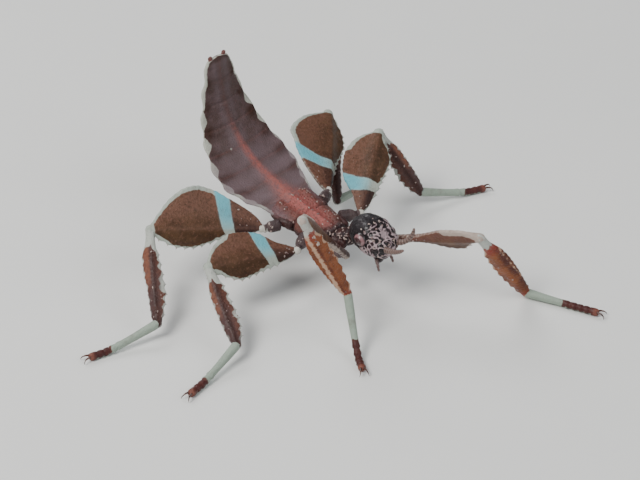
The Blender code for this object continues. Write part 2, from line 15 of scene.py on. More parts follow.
import bpy
import numpy as np
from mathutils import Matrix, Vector


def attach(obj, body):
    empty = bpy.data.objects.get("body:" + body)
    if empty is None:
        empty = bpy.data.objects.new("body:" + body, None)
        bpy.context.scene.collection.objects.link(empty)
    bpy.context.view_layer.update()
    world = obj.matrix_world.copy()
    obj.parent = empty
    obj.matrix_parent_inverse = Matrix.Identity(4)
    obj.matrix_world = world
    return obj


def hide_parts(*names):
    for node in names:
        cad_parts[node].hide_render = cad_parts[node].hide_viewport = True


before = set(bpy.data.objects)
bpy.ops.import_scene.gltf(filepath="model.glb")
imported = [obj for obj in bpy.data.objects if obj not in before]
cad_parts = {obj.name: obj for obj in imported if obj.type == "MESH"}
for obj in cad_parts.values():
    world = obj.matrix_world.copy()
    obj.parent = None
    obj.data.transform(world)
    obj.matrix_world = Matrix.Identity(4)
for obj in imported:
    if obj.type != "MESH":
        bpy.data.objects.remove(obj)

LOG = logging.getLogger("leaf_insect")
Array = np.ndarray
Knots = tuple[tuple[float, float], ...]
Triple = tuple[float, float, float]
Span = tuple[float, float]
Form = tuple[Array, list[list[int]]]

MM = 0.001
TURN = 2.0 * math.pi
UP = (0.0, 0.0, 1.0)
CAP_ROWS = 9
BEAD_ROWS = 7
NEAR_POLE = 0.995
MODEL_SHIFT = np.array((1.25, 2.08, 0.0))
SEED = 41
SHARP_CREASE = 52.0
PIGMENTS = ("Ground", "Mottle", "Pale", "Blue", "Flush", "Dark")


class Tint(Enum):
    """Fields painted on the skin. PALE is millimetres inside a pale patch, the rest are 0 to 1."""

    PALE = "pale"
    BLUE = "blue"
    FLUSH = "flush"
    DARK = "dark"


class Coat(Enum):
    """The finishes that stretches of the skin wear."""

    ABDOMEN = "abdomen_cuticle"
    THORAX = "thorax_cuticle"
    HEAD = "head_cuticle"
    COXA = "coxa_cuticle"
    FEMUR = "femur_cuticle"
    FRONT_FEMUR = "front_femur_cuticle"
    TIBIA = "tibia_cuticle"
    FRONT_TIBIA = "front_tibia_cuticle"
    TARSUS = "tarsus_cuticle"


def smooth(value: Array | float) -> Array:
    """Smooth step from 0 to 1: three squares less two cubes of the clipped value."""
    value = np.clip(value, 0.0, 1.0)
    return value * value * (3.0 - 2.0 * value)


def ramp(value: Array | float, start: Array | float, width: float) -> Array:
    """Smooth step from 0 at the start to 1 a width further on."""
    return smooth((value - start) / width)


def fall(value: Array | float, start: Array | float, width: float) -> Array:
    """Smooth step from 1 at the start to 0 a width further on."""
    return 1.0 - ramp(value, start, width)


def mix(low: Array | float, high: Array | float, share: Array | float) -> Array | float:
    """Straight blend between two values."""
    return low + (high - low) * share


def hill(value: Array | float, width: Array | float) -> Array:
    """Bell curve, 1 where the value is zero and falling off over the width."""
    return np.exp(-np.square(value / width))


def unit(vectors: Array) -> Array:
    """Vectors along the last axis brought to length one."""
    return vectors / np.maximum(np.linalg.norm(vectors, axis=-1, keepdims=True), 1e-12)


def direction(yaw: float, pitch: float) -> Array:
    """Unit vector for a yaw and a pitch in degrees."""
    turn = math.radians(yaw)
    lift = math.radians(pitch)
    return np.array((math.sin(turn) * math.cos(lift), -math.cos(turn) * math.cos(lift), math.sin(lift)))


def curve(knots: Knots, at: Array | float) -> Array:
    """Smooth curve through a few knots that never overshoots them.

    Each stretch is a cubic, and the slope at a knot is the harmonic mean of the
    slopes on its two sides, or zero where they disagree in sign.

    Args:
        knots: Pairs of place and value, in rising order of place.
        at: Places to read the curve at; past the ends it keeps the end values.

    Returns:
        The value at each place.
    """
    place, value = np.array(knots, float).T
    slope = np.diff(value) / np.diff(place)
    product = slope[:-1] * slope[1:]
    total = np.where(product > 0.0, slope[:-1] + slope[1:], 1.0)
    inner = np.where(product > 0.0, 2.0 * product / total, 0.0)
    tangent = np.concatenate((slope[:1], inner, slope[-1:]))
    at = np.clip(at, place[0], place[-1])
    left = np.clip(np.searchsorted(place, at, side="right") - 1, 0, len(place) - 2)
    width = place[left + 1] - place[left]
    t = (at - place[left]) / width
    rise = t * t * (3.0 - 2.0 * t)
    lean_in = t * (1.0 - t) ** 2 * width * tangent[left]
    lean_out = t * t * (1.0 - t) * width * tangent[left + 1]
    return mix(value[left], value[left + 1], rise) + lean_in - lean_out


def ripple(points: Array, size: float, seed: int) -> Array:
    """Soft pseudo-random swells, about -1 to 1: a sum of sines along seeded directions.

    Args:
        points: Places, three coordinates along the last axis.
        size: Distance between swells.
        seed: Draws the directions and phases.

    Returns:
        One number per place.
    """
    draw = np.random.default_rng(seed)
    waves = unit(draw.normal(size=(9, 3))) * TURN / size * draw.uniform(0.6, 1.5, (9, 1))
    return np.sin(points @ waves.T + draw.uniform(0.0, TURN, 9)).mean(axis=-1) * 2.0


def worms(points: Array, size: float, seed: int) -> Array:
    """Winding crests, 0 to 1: one less the size of a field of swells, so they follow its zero lines."""
    return 1.0 - smooth(np.abs(ripple(points, size, seed)) / 0.42)


def saw(share: Array, first: float, last: float, teeth: int) -> Array:
    """Teeth between two places: each rises slowly to 1 and drops at once, and lies flat elsewhere."""
    phase = (share - first) / (last - first)
    inside = (phase > 0.0) & (phase < 1.0)
    tooth = np.mod(phase * teeth, 1.0)
    return np.where(inside, smooth(tooth / 0.7) * fall(tooth, 0.7, 0.3), 0.0)


def even_turns(columns: int) -> Array:
    """Even steps round a circle, in radians."""
    return np.arange(columns) * TURN / columns


def ellipse(columns: int, power_x: float = 1.0, power_z: float = 1.0) -> tuple[Array, Array]:
    """Superellipse section: signed powers of the cosine and sine of even steps round a circle."""
    turn = even_turns(columns)
    x = np.sign(np.cos(turn)) * np.abs(np.cos(turn)) ** power_x
    z = np.sign(np.sin(turn)) * np.abs(np.sin(turn)) ** power_z
    return x, z


def tube(path: Array, widths: Array, heights: Array, columns: int, powers: Span = (1.0, 1.0),
         up: Triple = UP) -> Array:
    """Superellipse sections carried along a path, each square to it.

    Args:
        path: Middle line, one point per row.
        widths: Half width of each row, level and square to the path.
        heights: Half height of each row.
        columns: Points round a section.
        powers: Exponents of the section's cosine and sine.
        up: Direction that the sections' heights lean towards.

    Returns:
        A grid of points, rows by columns by three.
    """
    heading = unit(np.gradient(path, axis=0))
    across = unit(np.cross(heading, np.array(up)))
    upward = np.cross(across, heading)
    x, z = ellipse(columns, *powers)
    wide = (widths[:, None] * x)[:, :, None] * across[:, None, :]
    tall = (heights[:, None] * z)[:, :, None] * upward[:, None, :]
    return path[:, None, :] + wide + tall


def round_ends(rows: int, length: float, cap: float) -> tuple[Array, Array]:
    """Stations of a length with half-round ends.

    Args:
        rows: Number of stations, CAP_ROWS of them in each end.
        length: Distance between the centres of the two ends.
        cap: How far each end reaches past its centre.

    Returns:
        Distance of each station from the first centre, and the share of its full
        section there: the square root of one less the square of the overreach.
    """
    end = np.linspace(0.5 * math.pi, 0.0, CAP_ROWS + 1)[:-1]
    over = cap * np.sin(end) * NEAR_POLE
    middle = np.linspace(0.0, length, rows - 2 * CAP_ROWS)
    place = np.concatenate((-over, middle, length + over[::-1]))
    past = np.maximum(np.maximum(-place, place - length), 0.0) / cap
    return place, np.sqrt(np.clip(1.0 - past ** 2, 0.0, 1.0))


def peg(root: Array, heading: Array, length: float, cap: float, halves: Span, rows: int, columns: int,
        sunk: float | None = None, up: Triple = UP) -> Array:
    """A straight tube of one section with round ends.

    Args:
        root: A point on its middle line.
        heading: Direction of the middle line.
        length: Distance between the centres of its two ends.
        cap: How far each end reaches past its centre.
        halves: Half width and half height.
        rows: Points along it.
        columns: Points round it.
        sunk: How far its first centre lies behind the root; half the length if not given.
        up: Direction that its height leans towards.

    Returns:
        A grid of points.
    """
    place, closing = round_ends(rows, length, cap)
    path = root + np.outer(place - (0.5 * length if sunk is None else sunk), heading)
    return tube(path, halves[0] * closing, halves[1] * closing, columns, up=up)


@dataclass
class Surface:
    """A closed tube of points, rows along it and columns round it, with its painted fields."""

    points: Array
    coat: Coat
    pale: Array | float
    blue: Array | float = 0.0
    flush: Array | float = 0.0
    dark: Array | float = 0.0

    def fields(self) -> dict[str, Array]:
        """The painted fields by attribute name, with a number for each point and for the two poles."""
        flat = np.zeros(self.points.shape[:2])
        painted = {tint.value: flat + getattr(self, tint.value) for tint in Tint}
        return {key: np.concatenate((value.ravel(), (value[0].mean(), value[-1].mean())))
                for key, value in painted.items()}

    def normals(self) -> Array:
        """Outward unit normals: the cross product of the steps along and round the grid."""
        along = np.gradient(self.points, axis=0)
        around = np.roll(self.points, -1, axis=1) - np.roll(self.points, 1, axis=1)
        normal = unit(np.cross(around, along))
        outward = self.points - self.points.mean(axis=1, keepdims=True)
        return normal * np.sign((normal * outward).sum())

    def scatter(self, weight: Array, count: int, draw: np.random.Generator) -> tuple[Array, Array]:
        """Draw places on the surface.

        Args:
            weight: Chance of each grid point, rows by columns.
            count: How many places.
            draw: Seeded source of the choices.

        Returns:
            The places and the outward normals there.
        """
        across = np.linalg.norm(np.roll(self.points, -1, axis=1) - self.points, axis=-1)
        along = np.linalg.norm(np.gradient(self.points, axis=0), axis=-1)
        chance = (weight * across * along).ravel()
        chosen = draw.choice(chance.size, count, replace=False, p=chance / chance.sum())
        return self.points.reshape(-1, 3)[chosen], self.normals().reshape(-1, 3)[chosen]


def tube_faces(rows: int, columns: int) -> tuple[Array, Array]:
    """Quads between the rows of a closed tube, and triangles to a pole past each end."""
    index = np.arange(rows * columns).reshape(rows, columns)
    following = np.roll(index, -1, axis=1)
    quads = np.stack((index[:-1], following[:-1], following[1:], index[1:]), axis=-1).reshape(-1, 4)
    first = np.stack((following[0], index[0], np.full(columns, rows * columns)), axis=-1)
    last = np.stack((index[-1], following[-1], np.full(columns, rows * columns + 1)), axis=-1)
    return quads, np.concatenate((first, last))


def outward(points: Array, quads: Array, triangles: Array) -> tuple[Array, Array]:
    """Turn a closed shell's faces over if they enclose a negative volume."""
    halves = np.concatenate((triangles, quads[:, :3], quads[:, (0, 2, 3)]))
    corner = points[halves]
    volume = (corner[:, 0] * np.cross(corner[:, 1], corner[:, 2])).sum()
    return (quads, triangles) if volume > 0.0 else (quads[:, ::-1], triangles[:, ::-1])


def linked(name: str, data: bpy.types.ID) -> bpy.types.Object:
    """Put a mesh, lamp or camera in the scene as an object."""
    made = bpy.data.objects.new(name, data)
    bpy.context.scene.collection.objects.link(made)
    return made


def write_mesh(name: str, points: Array, faces: list[list[int]], finish: bpy.types.Material,
               fields: dict[str, Array] | None = None) -> bpy.types.Object:
    """Put a mesh in the scene, in metres and in the loaded frame.

    Args:
        name: Name of the object.
        points: Vertices in millimetres in the insect's own frame.
        faces: Corners of each face.
        finish: The material it wears.
        fields: Painted numbers, one per vertex, by attribute name.

    Returns:
        The new object, at the origin.
    """
    mesh = bpy.data.meshes.new(name)
    mesh.from_pydata(((points + MODEL_SHIFT) * MM).tolist(), [], faces)
    for key, values in (fields or {}).items():
        layer = mesh.attributes.new(key, "FLOAT", "POINT")
        layer.data.foreach_set("value", values.astype(np.float32))
    mesh.shade_smooth()
    mesh.materials.append(finish)
    return linked(name, mesh)


def close_tube(points: Array) -> Form:
    """Vertices and faces of a closed tube from its grid, with a pole at each end."""
    rows, columns = points.shape[:2]
    poles = np.stack((points[0].mean(axis=0), points[-1].mean(axis=0)))
    vertices = np.concatenate((points.reshape(-1, 3), poles))
    quads, triangles = outward(vertices, *tube_faces(rows, columns))
    return vertices, quads.tolist() + triangles.tolist()


def place_copies(template: Form, places: Array, outwards: Array, leans: Array,
                 sizes: Array) -> Form:
    """Set many copies of a small closed form on a surface.

    Each copy's third axis points outwards, its first axis lies along the lean.

    Args:
        template: Vertices and faces of one form about its own root.
        places: Root of each copy.
        outwards: Unit normal at each root.
        leans: Direction that each copy's first axis is turned towards.
        sizes: Three sizes of each copy.

    Returns:
        Vertices and faces of all copies.
    """
    points, faces = template
    third = unit(outwards)
    first = unit(leans - third * (leans * third).sum(axis=1, keepdims=True))
    second = np.cross(third, first)
    turned = np.einsum("vi,ni,nij->nvj", points, sizes, np.stack((first, second, third), axis=1))
    vertices = (places[:, None, :] + turned).reshape(-1, 3)
    shifts = np.arange(len(places)) * len(points)
    copies = [[corner + shift for corner in face] for shift in shifts.tolist() for face in faces]
    return vertices, copies


def grain_form() -> Form:
    """A rounded grain of unit radius: three rings of seven points with a pole at each end."""
    rise = np.cos(np.array((0.2, 0.5, 0.8)) * math.pi)
    ring = np.sin(np.array((0.2, 0.5, 0.8)) * math.pi)
    x, z = ellipse(7)
    grid = np.stack((ring[:, None] * x, ring[:, None] * z, np.repeat(rise[:, None], 7, axis=1)), axis=-1)
    vertices, faces = close_tube(grid)
    vertices[-2:] = ((0.0, 0.0, 1.0), (0.0, 0.0, -1.0))
    return vertices, faces


def spine_form() -> Form:
    """A bent spine of unit length: four rings of six points that narrow as it leans over."""
    rise = np.array((-0.3, 0.15, 0.5, 0.8))
    ring = np.array((1.0, 0.8, 0.46, 0.2))
    x, z = ellipse(6)
    bend = 0.9 * np.clip(rise, 0.0, 1.0) ** 2
    level = np.repeat(rise[:, None], 6, axis=1)
    grid = np.stack((ring[:, None] * x + bend[:, None], ring[:, None] * z, level), axis=-1)
    vertices, faces = close_tube(grid)
    vertices[-1] = (0.95, 0.0, 1.0)
    return vertices, faces


@dataclass(frozen=True)
class Band:
    """A pale band across a femur: its middle along the length, its slant and its half width."""

    middle: float
    slant: float
    half: float


@dataclass(frozen=True)
class Blade:
    """A flat length of leg: a core along its axis with a thin lobe to each side."""

    start: Array
    axis: Array
    side: Array
    length: float
    extensor: Knots
    flexor: Knots
    core: Knots
    rim: float
    teeth: int
    veins: int
    wave: float
    rows: int
    columns: int
    tooth: float = 0.08
    cap: float = 0.24

    def reach(self, share: Array) -> tuple[Array, Array]:
        """Distance from the axis to the extensor rim and to the flexor rim at shares of the length.

        Each is the root of the summed squares of the core and the lobe, with teeth
        added to the flexor rim and small ones to the extensor rim.
        """
        core = curve(self.core, share)
        up = np.hypot(core, curve(self.extensor, share))
        down = np.hypot(core, curve(self.flexor, share))
        fall = self.tooth * saw(share, 0.2, 0.95, self.teeth)
        rise = 0.35 * self.tooth * saw(share, 0.25, 0.95, self.teeth + 3)
        return up + rise, down + fall

    def rim_places(self, shares: Array, extensor: bool) -> tuple[Array, Array]:
        """Points on one rim at shares of the length, and the directions out of the rim."""
        up, down = self.reach(shares)
        reach = up if extensor else -down
        outwards = self.side * (1.0 if extensor else -1.0)
        middle = self.start + self.axis * (shares * self.length)[:, None]
        return middle + self.side * reach[:, None], np.repeat(outwards[None], len(shares), axis=0)

    def grid(self) -> tuple[Array, Array, Array, Array]:
        """Points of the blade and where each lies on it.

        Round the section the height above the axis is the reach times a cosine. The
        thickness is the rim's plus a bell of the core's about the axis, plus raised
        veins and a bead along the rim, times the root of the sine. The middle of
        the blade waves towards its rims.

        Returns:
            Points, share of the length, height above the axis and distance to the rim.
        """
        place, closing = round_ends(self.rows, self.length, self.cap)
        share = np.clip(place / self.length, 0.0, 1.0)
        up, down = self.reach(share)
        core = (curve(self.core, share) * closing)[:, None]
        turn = even_turns(self.columns)
        full = np.where(np.cos(turn) >= 0.0, up[:, None], down[:, None]) * closing[:, None]
        height = full * np.cos(turn)
        inner = full - np.abs(height)
        along = share[:, None] + 0.1 * np.abs(height)
        vein = hill(np.mod(along * self.veins, 1.0) - 0.5, 0.13) * ramp(np.abs(height), core, 0.35)
        relief = 0.022 * vein * smooth(inner / 0.15) + 0.03 * hill(inner - 0.06, 0.06) * smooth(full / 0.6 - 0.6)
        rim = self.rim * closing[:, None]
        thick = rim + (core - rim) * hill(height, 1.15 * np.maximum(core, 0.05)) + relief
        width = thick * np.sqrt(np.abs(np.sin(turn))) * np.sign(np.sin(turn))
        swing = np.sin(TURN * (2.3 * share[:, None] + 0.2 * np.sign(height)))
        width = width + self.wave * np.square(height / 1.8) * swing
        across = np.cross(self.axis, self.side)
        points = self.start + place[:, None, None] * self.axis + height[..., None] * self.side
        points = points + width[..., None] * across
        return points, np.repeat(share[:, None], self.columns, axis=1), height, inner


@dataclass(frozen=True)
class Pair:
    """Sizes that the left and right leg of one pair share."""

    hip: Triple
    coxa_root: Triple
    coxa_radius: float
    knob: Span
    femur: float
    tibia: float
    tarsus: float
    femur_extensor: Knots
    femur_flexor: Knots
    tibia_extensor: Knots
    tibia_flexor: Knots
    femur_core: Knots
    teeth: int
    rim_from: float
    dark_until: float
    femur_coat: Coat
    tibia_coat: Coat
    tarsus_pale: float


TIBIA_CORE = ((0.0, 0.24), (0.12, 0.2), (0.3, 0.26), (0.9, 0.22), (1.0, 0.2))
TIBIA_TEETH = 7
LOBED_CORE = ((0.0, 0.09), (0.05, 0.13), (0.12, 0.22), (0.3, 0.3), (0.7, 0.32), (1.0, 0.25))

PAIRS = {
    "front": Pair(
        hip=(1.02, -2.45, 2.8), coxa_root=(1.02, -1.62, 2.6), coxa_radius=0.27, knob=(0.17, 0.05),
        femur=6.05, tibia=5.35, tarsus=3.9,
        femur_extensor=((0.0, 0.0), (0.38, 0.02), (0.52, 0.3), (0.7, 0.58), (0.84, 0.56), (0.95, 0.28), (1.0, 0.0)),
        femur_flexor=((0.0, 0.0), (0.38, 0.0), (0.5, 0.3), (0.66, 0.74), (0.77, 0.86), (0.87, 0.48), (0.94, 0.1),
                      (1.0, 0.0)),
        tibia_extensor=((0.0, 0.0), (0.1, 0.12), (0.26, 0.4), (0.41, 0.48), (0.6, 0.43), (0.77, 0.32), (0.94, 0.18),
                        (1.0, 0.1)),
        tibia_flexor=((0.0, 0.0), (0.15, 0.12), (0.31, 0.28), (0.5, 0.36), (0.66, 0.33), (0.86, 0.2), (1.0, 0.08)),
        femur_core=((0.0, 0.2), (0.2, 0.17), (0.42, 0.2), (0.8, 0.28), (1.0, 0.24)),
        teeth=11, rim_from=0.66, dark_until=0.45, tarsus_pale=0.49,
        femur_coat=Coat.FRONT_FEMUR, tibia_coat=Coat.FRONT_TIBIA),
    "middle": Pair(
        hip=(2.24, -0.22, 2.53), coxa_root=(1.48, 0.1, 2.62), coxa_radius=0.32, knob=(0.2, 0.04),
        femur=4.82, tibia=4.25, tarsus=3.83,
        femur_extensor=((0.0, 0.1), (0.08, 0.28), (0.2, 0.55), (0.3, 0.92), (0.38, 1.22), (0.5, 1.4), (0.66, 1.44),
                        (0.8, 1.24), (0.92, 0.76), (1.0, 0.12)),
        femur_flexor=((0.0, 0.0), (0.08, 0.22), (0.22, 0.36), (0.4, 0.55), (0.55, 0.72), (0.67, 0.82), (0.78, 0.64),
                      (0.88, 0.34), (1.0, 0.0)),
        tibia_extensor=((0.0, 0.0), (0.2, 0.16), (0.38, 0.28), (0.58, 0.28), (0.8, 0.24), (1.0, 0.1)),
        tibia_flexor=((0.0, 0.0), (0.12, 0.2), (0.3, 0.27), (0.5, 0.37), (0.7, 0.44), (0.86, 0.32), (1.0, 0.08)),
        femur_core=LOBED_CORE, teeth=9, rim_from=0.68, dark_until=0.3, tarsus_pale=0.66,
        femur_coat=Coat.FEMUR, tibia_coat=Coat.TIBIA),
    "hind": Pair(
        hip=(2.29, 2.15, 2.66), coxa_root=(1.8, 1.9, 2.7), coxa_radius=0.3, knob=(0.19, 0.2),
        femur=5.84, tibia=4.86, tarsus=3.86,
        femur_extensor=((0.0, 0.1), (0.05, 0.55), (0.18, 1.12), (0.3, 1.52), (0.42, 1.98), (0.56, 2.2), (0.68, 2.06),
                        (0.81, 1.56), (0.91, 0.88), (1.0, 0.12)),
        femur_flexor=((0.0, 0.0), (0.2, 0.02), (0.36, 0.3), (0.5, 0.6), (0.65, 0.82), (0.77, 0.77), (0.88, 0.5),
                      (1.0, 0.0)),
        tibia_extensor=((0.0, 0.0), (0.12, 0.2), (0.3, 0.42), (0.45, 0.4), (0.65, 0.26), (0.9, 0.18), (1.0, 0.1)),
        tibia_flexor=((0.0, 0.0), (0.22, 0.05), (0.4, 0.24), (0.56, 0.36), (0.68, 0.42), (0.82, 0.3), (1.0, 0.06)),
        femur_core=LOBED_CORE, teeth=10, rim_from=0.33, dark_until=0.3, tarsus_pale=0.68,
        femur_coat=Coat.FEMUR, tibia_coat=Coat.TIBIA),
}


@dataclass(frozen=True)
class Leg:
    """One leg: how its lengths are held, and its skin, spines and claws."""

    name: str
    pair: Pair
    mirrored: bool
    femur_turn: Span
    tibia_turn: Span
    tarsus_yaw: float
    femur_facing: Span
    tibia_facing: Span
    band: Band | None = None
    spots: Knots = ()
    strip: Span = (0.0, 0.0)
    toe_half_height: float = 0.19
    flat_from: float = 0.76
    claw: float = 0.42

    def place(self, point: Triple) -> Array:
        """A point of the pair on this leg's side."""
        flip = -1.0 if self.mirrored else 1.0
        return np.array((point[0] * flip, point[1], point[2]))

    def joints(self) -> tuple[Array, Array, Array]:
        """Hip, knee and ankle."""
        hip = self.place(self.pair.hip)
        knee = hip + direction(*self.femur_turn) * self.pair.femur
        return hip, knee, knee + direction(*self.tibia_turn) * self.pair.tibia

    def extensor_side(self, axis: Array, facing: Span, towards: Array) -> Array:
        """Unit direction of the extensor rim: square to the axis and the facing, on the given side."""
        side = unit(np.cross(axis, direction(*facing)))
        return side if side @ towards > 0.0 else -side

    def blades(self) -> tuple[Blade, Blade]:
        """The forms of the femur, from hip to knee, and of the tibia, from knee to ankle."""
        hip, knee = self.joints()[:2]
        thigh = direction(*self.femur_turn)
        shin = direction(*self.tibia_turn)
        bend = shin @ thigh
        over = self.extensor_side(thigh, self.femur_facing, thigh * bend - shin)
        outer = self.extensor_side(shin, self.tibia_facing, thigh - shin * bend)
        pair = self.pair
        return (Blade(hip, thigh, over, pair.femur, pair.femur_extensor, pair.femur_flexor, pair.femur_core,
                      rim=0.13, teeth=pair.teeth, veins=15, wave=0.1, rows=116, columns=44),
                Blade(knee, shin, outer, pair.tibia, pair.tibia_extensor, pair.tibia_flexor, TIBIA_CORE,
                      rim=0.12, teeth=TIBIA_TEETH, veins=9, wave=0.12, rows=100, columns=32))

    def femur(self) -> Surface:
        """The femur's skin, with its dark root, its band and its pale rims."""
        points, share, height, inner = self.blades()[0].grid()
        length = self.pair.femur
        span = np.maximum(np.abs(height) + inner, 0.2)
        lean = height / span
        distal = ramp(share, self.pair.rim_from, 0.05)
        extensor_rim = 0.24 * distal * (1.0 - 0.3 * ramp(share, 0.8, 0.2)) - inner
        near_knee = ramp(share, 0.82, 0.06)
        flexor_rim = 0.015 + 0.1 * near_knee + 0.1 * saw(share, 0.2, 0.95, self.pair.teeth) - inner
        rims = np.where(height > 0.0, extensor_rim, flexor_rim)
        pale = np.maximum(rims, (share - 0.97) * length)
        blue = np.zeros_like(share)
        if self.band:
            slant = self.band.middle + self.band.slant * lean
            inside = (self.band.half * (1.0 + 0.25 * lean) - np.abs(share - slant)) * length
            blue = smooth((inside + 0.1) / 0.2) * smooth(0.9 * lean + 0.5)
            pale = np.maximum(pale, inside)
            flexor_glow = 0.14 * fall(share - self.band.middle, 0.05, 0.2) - inner
            pale = np.where((lean < -0.1) & (share > self.band.middle), np.maximum(pale, flexor_glow), pale)
        root = 1.0 - smooth((share - self.pair.dark_until + 0.06) / 0.1)
        groove = hill(inner - 0.2, 0.07) * smooth(span / 0.8 - 0.6) * np.where(height > 0.0, 0.35, 0.9)
        dark = np.clip(root * (1.0 - 0.35 * smooth(lean * 2.0)) + groove, 0.0, 1.0)
        flush = 0.85 * smooth(lean * 1.6 + 0.05) + 0.4 * hill(height, 0.12)
        return Surface(points, self.pair.femur_coat, pale, blue, flush.clip(0.0, 1.0), dark)

    def tibia(self) -> Surface:
        """The tibia's skin: pale at the knee, then dark with pale spots along the flexor lobe."""
        points, share, height, inner = self.blades()[1].grid()
        length = self.pair.tibia
        front = self.pair.tibia_coat is Coat.FRONT_TIBIA
        spots = np.full_like(share, -1.0)
        for at, radius in self.spots:
            reach = np.hypot((share - at) * length * 0.62, np.where(height < 0.0, inner, 9.0) * 0.8)
            spots = np.maximum(spots, radius - reach)
        if front:
            beads = 0.02 * np.sin(share * TURN * 13.0) + 0.012 * np.sin(share * TURN * 31.0)
            strip = self.strip[1] + beads - np.abs(height - self.strip[0])
            base = (0.14 + 0.03 * ripple(points, 0.25, SEED + 1) - share) * length
            rim = np.where(height < 0.0, 0.1 * saw(share, 0.16, 0.6, 9) - inner, -1.0)
            pale = np.maximum.reduce((np.where(share > 0.12, strip, -1.0), base, rim, spots))
            dark = 0.95 * hill(height - self.strip[0] + self.strip[1] + 0.07, 0.055)
            dark = dark + 0.7 * ramp(height, 0.1, 0.1) * smooth((0.06 - self.strip[1]) / 0.03)
            flush = smooth((0.3 - share) / 0.12) + 0.8 * ramp(share, 0.9, 0.06)
            blue = fall(share, 0.14, 0.05)
        else:
            fork = 0.12 * hill(height - 0.02, 0.05) * ramp(share, 0.06, 0.05)
            base = (0.215 - 0.03 * np.sign(height) * smooth(np.abs(height) / 0.2) - share) * length - 2.5 * fork
            rim = np.where(height < 0.0, 0.02 + 0.07 * saw(share, 0.2, 0.95, 9),
                           0.035 + 0.04 * np.sin(share * TURN * 7.0)) - inner
            pale = np.maximum.reduce((base, spots, rim, np.where(share > 0.955, 0.03 - inner, -1.0)))
            dark = 0.85 * hill(height + 0.03, 0.16) * ramp(share, 0.2, 0.1) + 0.3 * ramp(share, 0.5, 0.4)
            flush = ramp(height, 0.1, 0.1) * fall(share, 0.5, 0.2) + 0.4 * smooth(-height / 0.4)
            blue = 0.8 * ramp(share, 0.38, 0.2) * hill(np.abs(height) - 0.22, 0.12)
        return Surface(points, self.pair.tibia_coat, pale, *(value.clip(0.0, 1.0) for value in (blue, flush, dark)))

    def tarsus_path(self, share: Array) -> Array:
        """Middle line of the tarsus: it drops from the ankle by a power law and levels off at the floor."""
        ankle = self.joints()[2]
        drop = ankle[2] - self.toe_half_height
        reach = math.sqrt(self.pair.tarsus ** 2 - drop ** 2)
        lift = drop * np.maximum(1.0 - share / self.flat_from, 0.0) ** 1.25
        ahead = direction(self.tarsus_yaw, 0.0)
        level = np.array((ankle[0], ankle[1], self.toe_half_height)) + ahead * (reach * share)[:, None]
        return level + np.array((0.0, 0.0, 1.0)) * lift[:, None]

    def tarsus(self) -> Surface:
        """The tarsus: a long first joint, three short ones and a padded last one, flat on the floor."""
        rows, columns = 62, 20
        share = np.linspace(-0.03, 1.0, rows)
        joints = np.array((0.585, 0.68, 0.765, 0.85))
        swell = hill(share[:, None] - joints + 0.018, 0.026).sum(axis=1)
        pinch = hill(share[:, None] - joints - 0.012, 0.01).sum(axis=1)
        half = curve(((-0.03, 0.16), (0.03, 0.22), (0.5, 0.17), (0.85, 0.165), (0.94, 0.2), (1.0, 0.16)), share)
        half = half + 0.035 * swell - 0.035 * pinch
        closing = np.sqrt(np.clip(1.0 - ((share - 0.95) / 0.0502).clip(0.0) ** 2, 0.0, 1.0))
        opening = np.sqrt(np.clip(1.0 - ((0.01 - share) / 0.0402).clip(0.0) ** 2, 0.0, 1.0))
        height = np.minimum(mix(half, self.toe_half_height, smooth(share / self.flat_from)), half + 0.02)
        shape = tube(self.tarsus_path(share), half * closing * opening, height * closing * opening, columns,
                     (0.9, 0.85))
        shape[..., 2] = np.maximum(shape[..., 2], 0.0)
        reach = np.repeat(share[:, None], columns, axis=1)
        under = np.repeat(-np.sin(even_turns(columns))[None], rows, axis=0)
        membrane = 0.05 * hill(np.mod((reach - 0.6) / 0.083, 1.0) - 0.5, 0.14)
        pale = (self.pair.tarsus_pale - reach) * self.pair.tarsus + 0.1 * ripple(shape, 0.5, SEED)
        pale = np.maximum(pale, np.where(reach < 0.9, membrane + 0.1 * under - 0.055, -1.0))
        dark = smooth((reach - self.pair.tarsus_pale + 0.04) / 0.1) * fall(reach, 0.9, 0.06)
        return Surface(shape, Coat.TARSUS, pale, flush=ramp(reach, 0.9, 0.06), dark=dark)

    def coxa(self) -> Surface:
        """The coxa: a stout cone from the body's side to the hip, ringed near its end."""
        root = self.place(self.pair.coxa_root)
        hip = self.joints()[0]
        length = float(np.linalg.norm(hip - root))
        sunk = 0.25
        place, closing = round_ends(44, length + sunk, 0.12)
        share = (place - sunk) / length
        radius = curve(((-0.4, self.pair.coxa_radius), (0.2, self.pair.coxa_radius), (0.5, 0.26), (0.7, 0.17),
                        (0.84, 0.2), (1.0, 0.17)), share)
        path = root + (hip - root) * share[:, None]
        shape = tube(path, radius * closing, radius * closing, 24)
        ring = hill(share - 0.7, 0.08)[:, None] + 0.8 * (1.0 - smooth(share / 0.5))[:, None]
        pale = 0.2 * ripple(shape, 0.3, SEED + 2) - 0.25
        return Surface(shape, Coat.COXA, pale, flush=0.2, dark=ring.clip(0.0, 1.0))

    def knob(self) -> Surface:
        """The trochanter: a small pale knob at the hip."""
        size, length = self.pair.knob
        shape = peg(self.joints()[0], direction(*self.femur_turn), length, size, (size, size), 30, 22)
        return Surface(shape, Coat.COXA, -0.1 if self.pair.femur_coat is Coat.FRONT_FEMUR else 0.3)

    def surfaces(self) -> list[Surface]:
        """Every stretch of this leg's skin."""
        return [self.coxa(), self.knob(), self.femur(), self.tibia(), self.tarsus()]

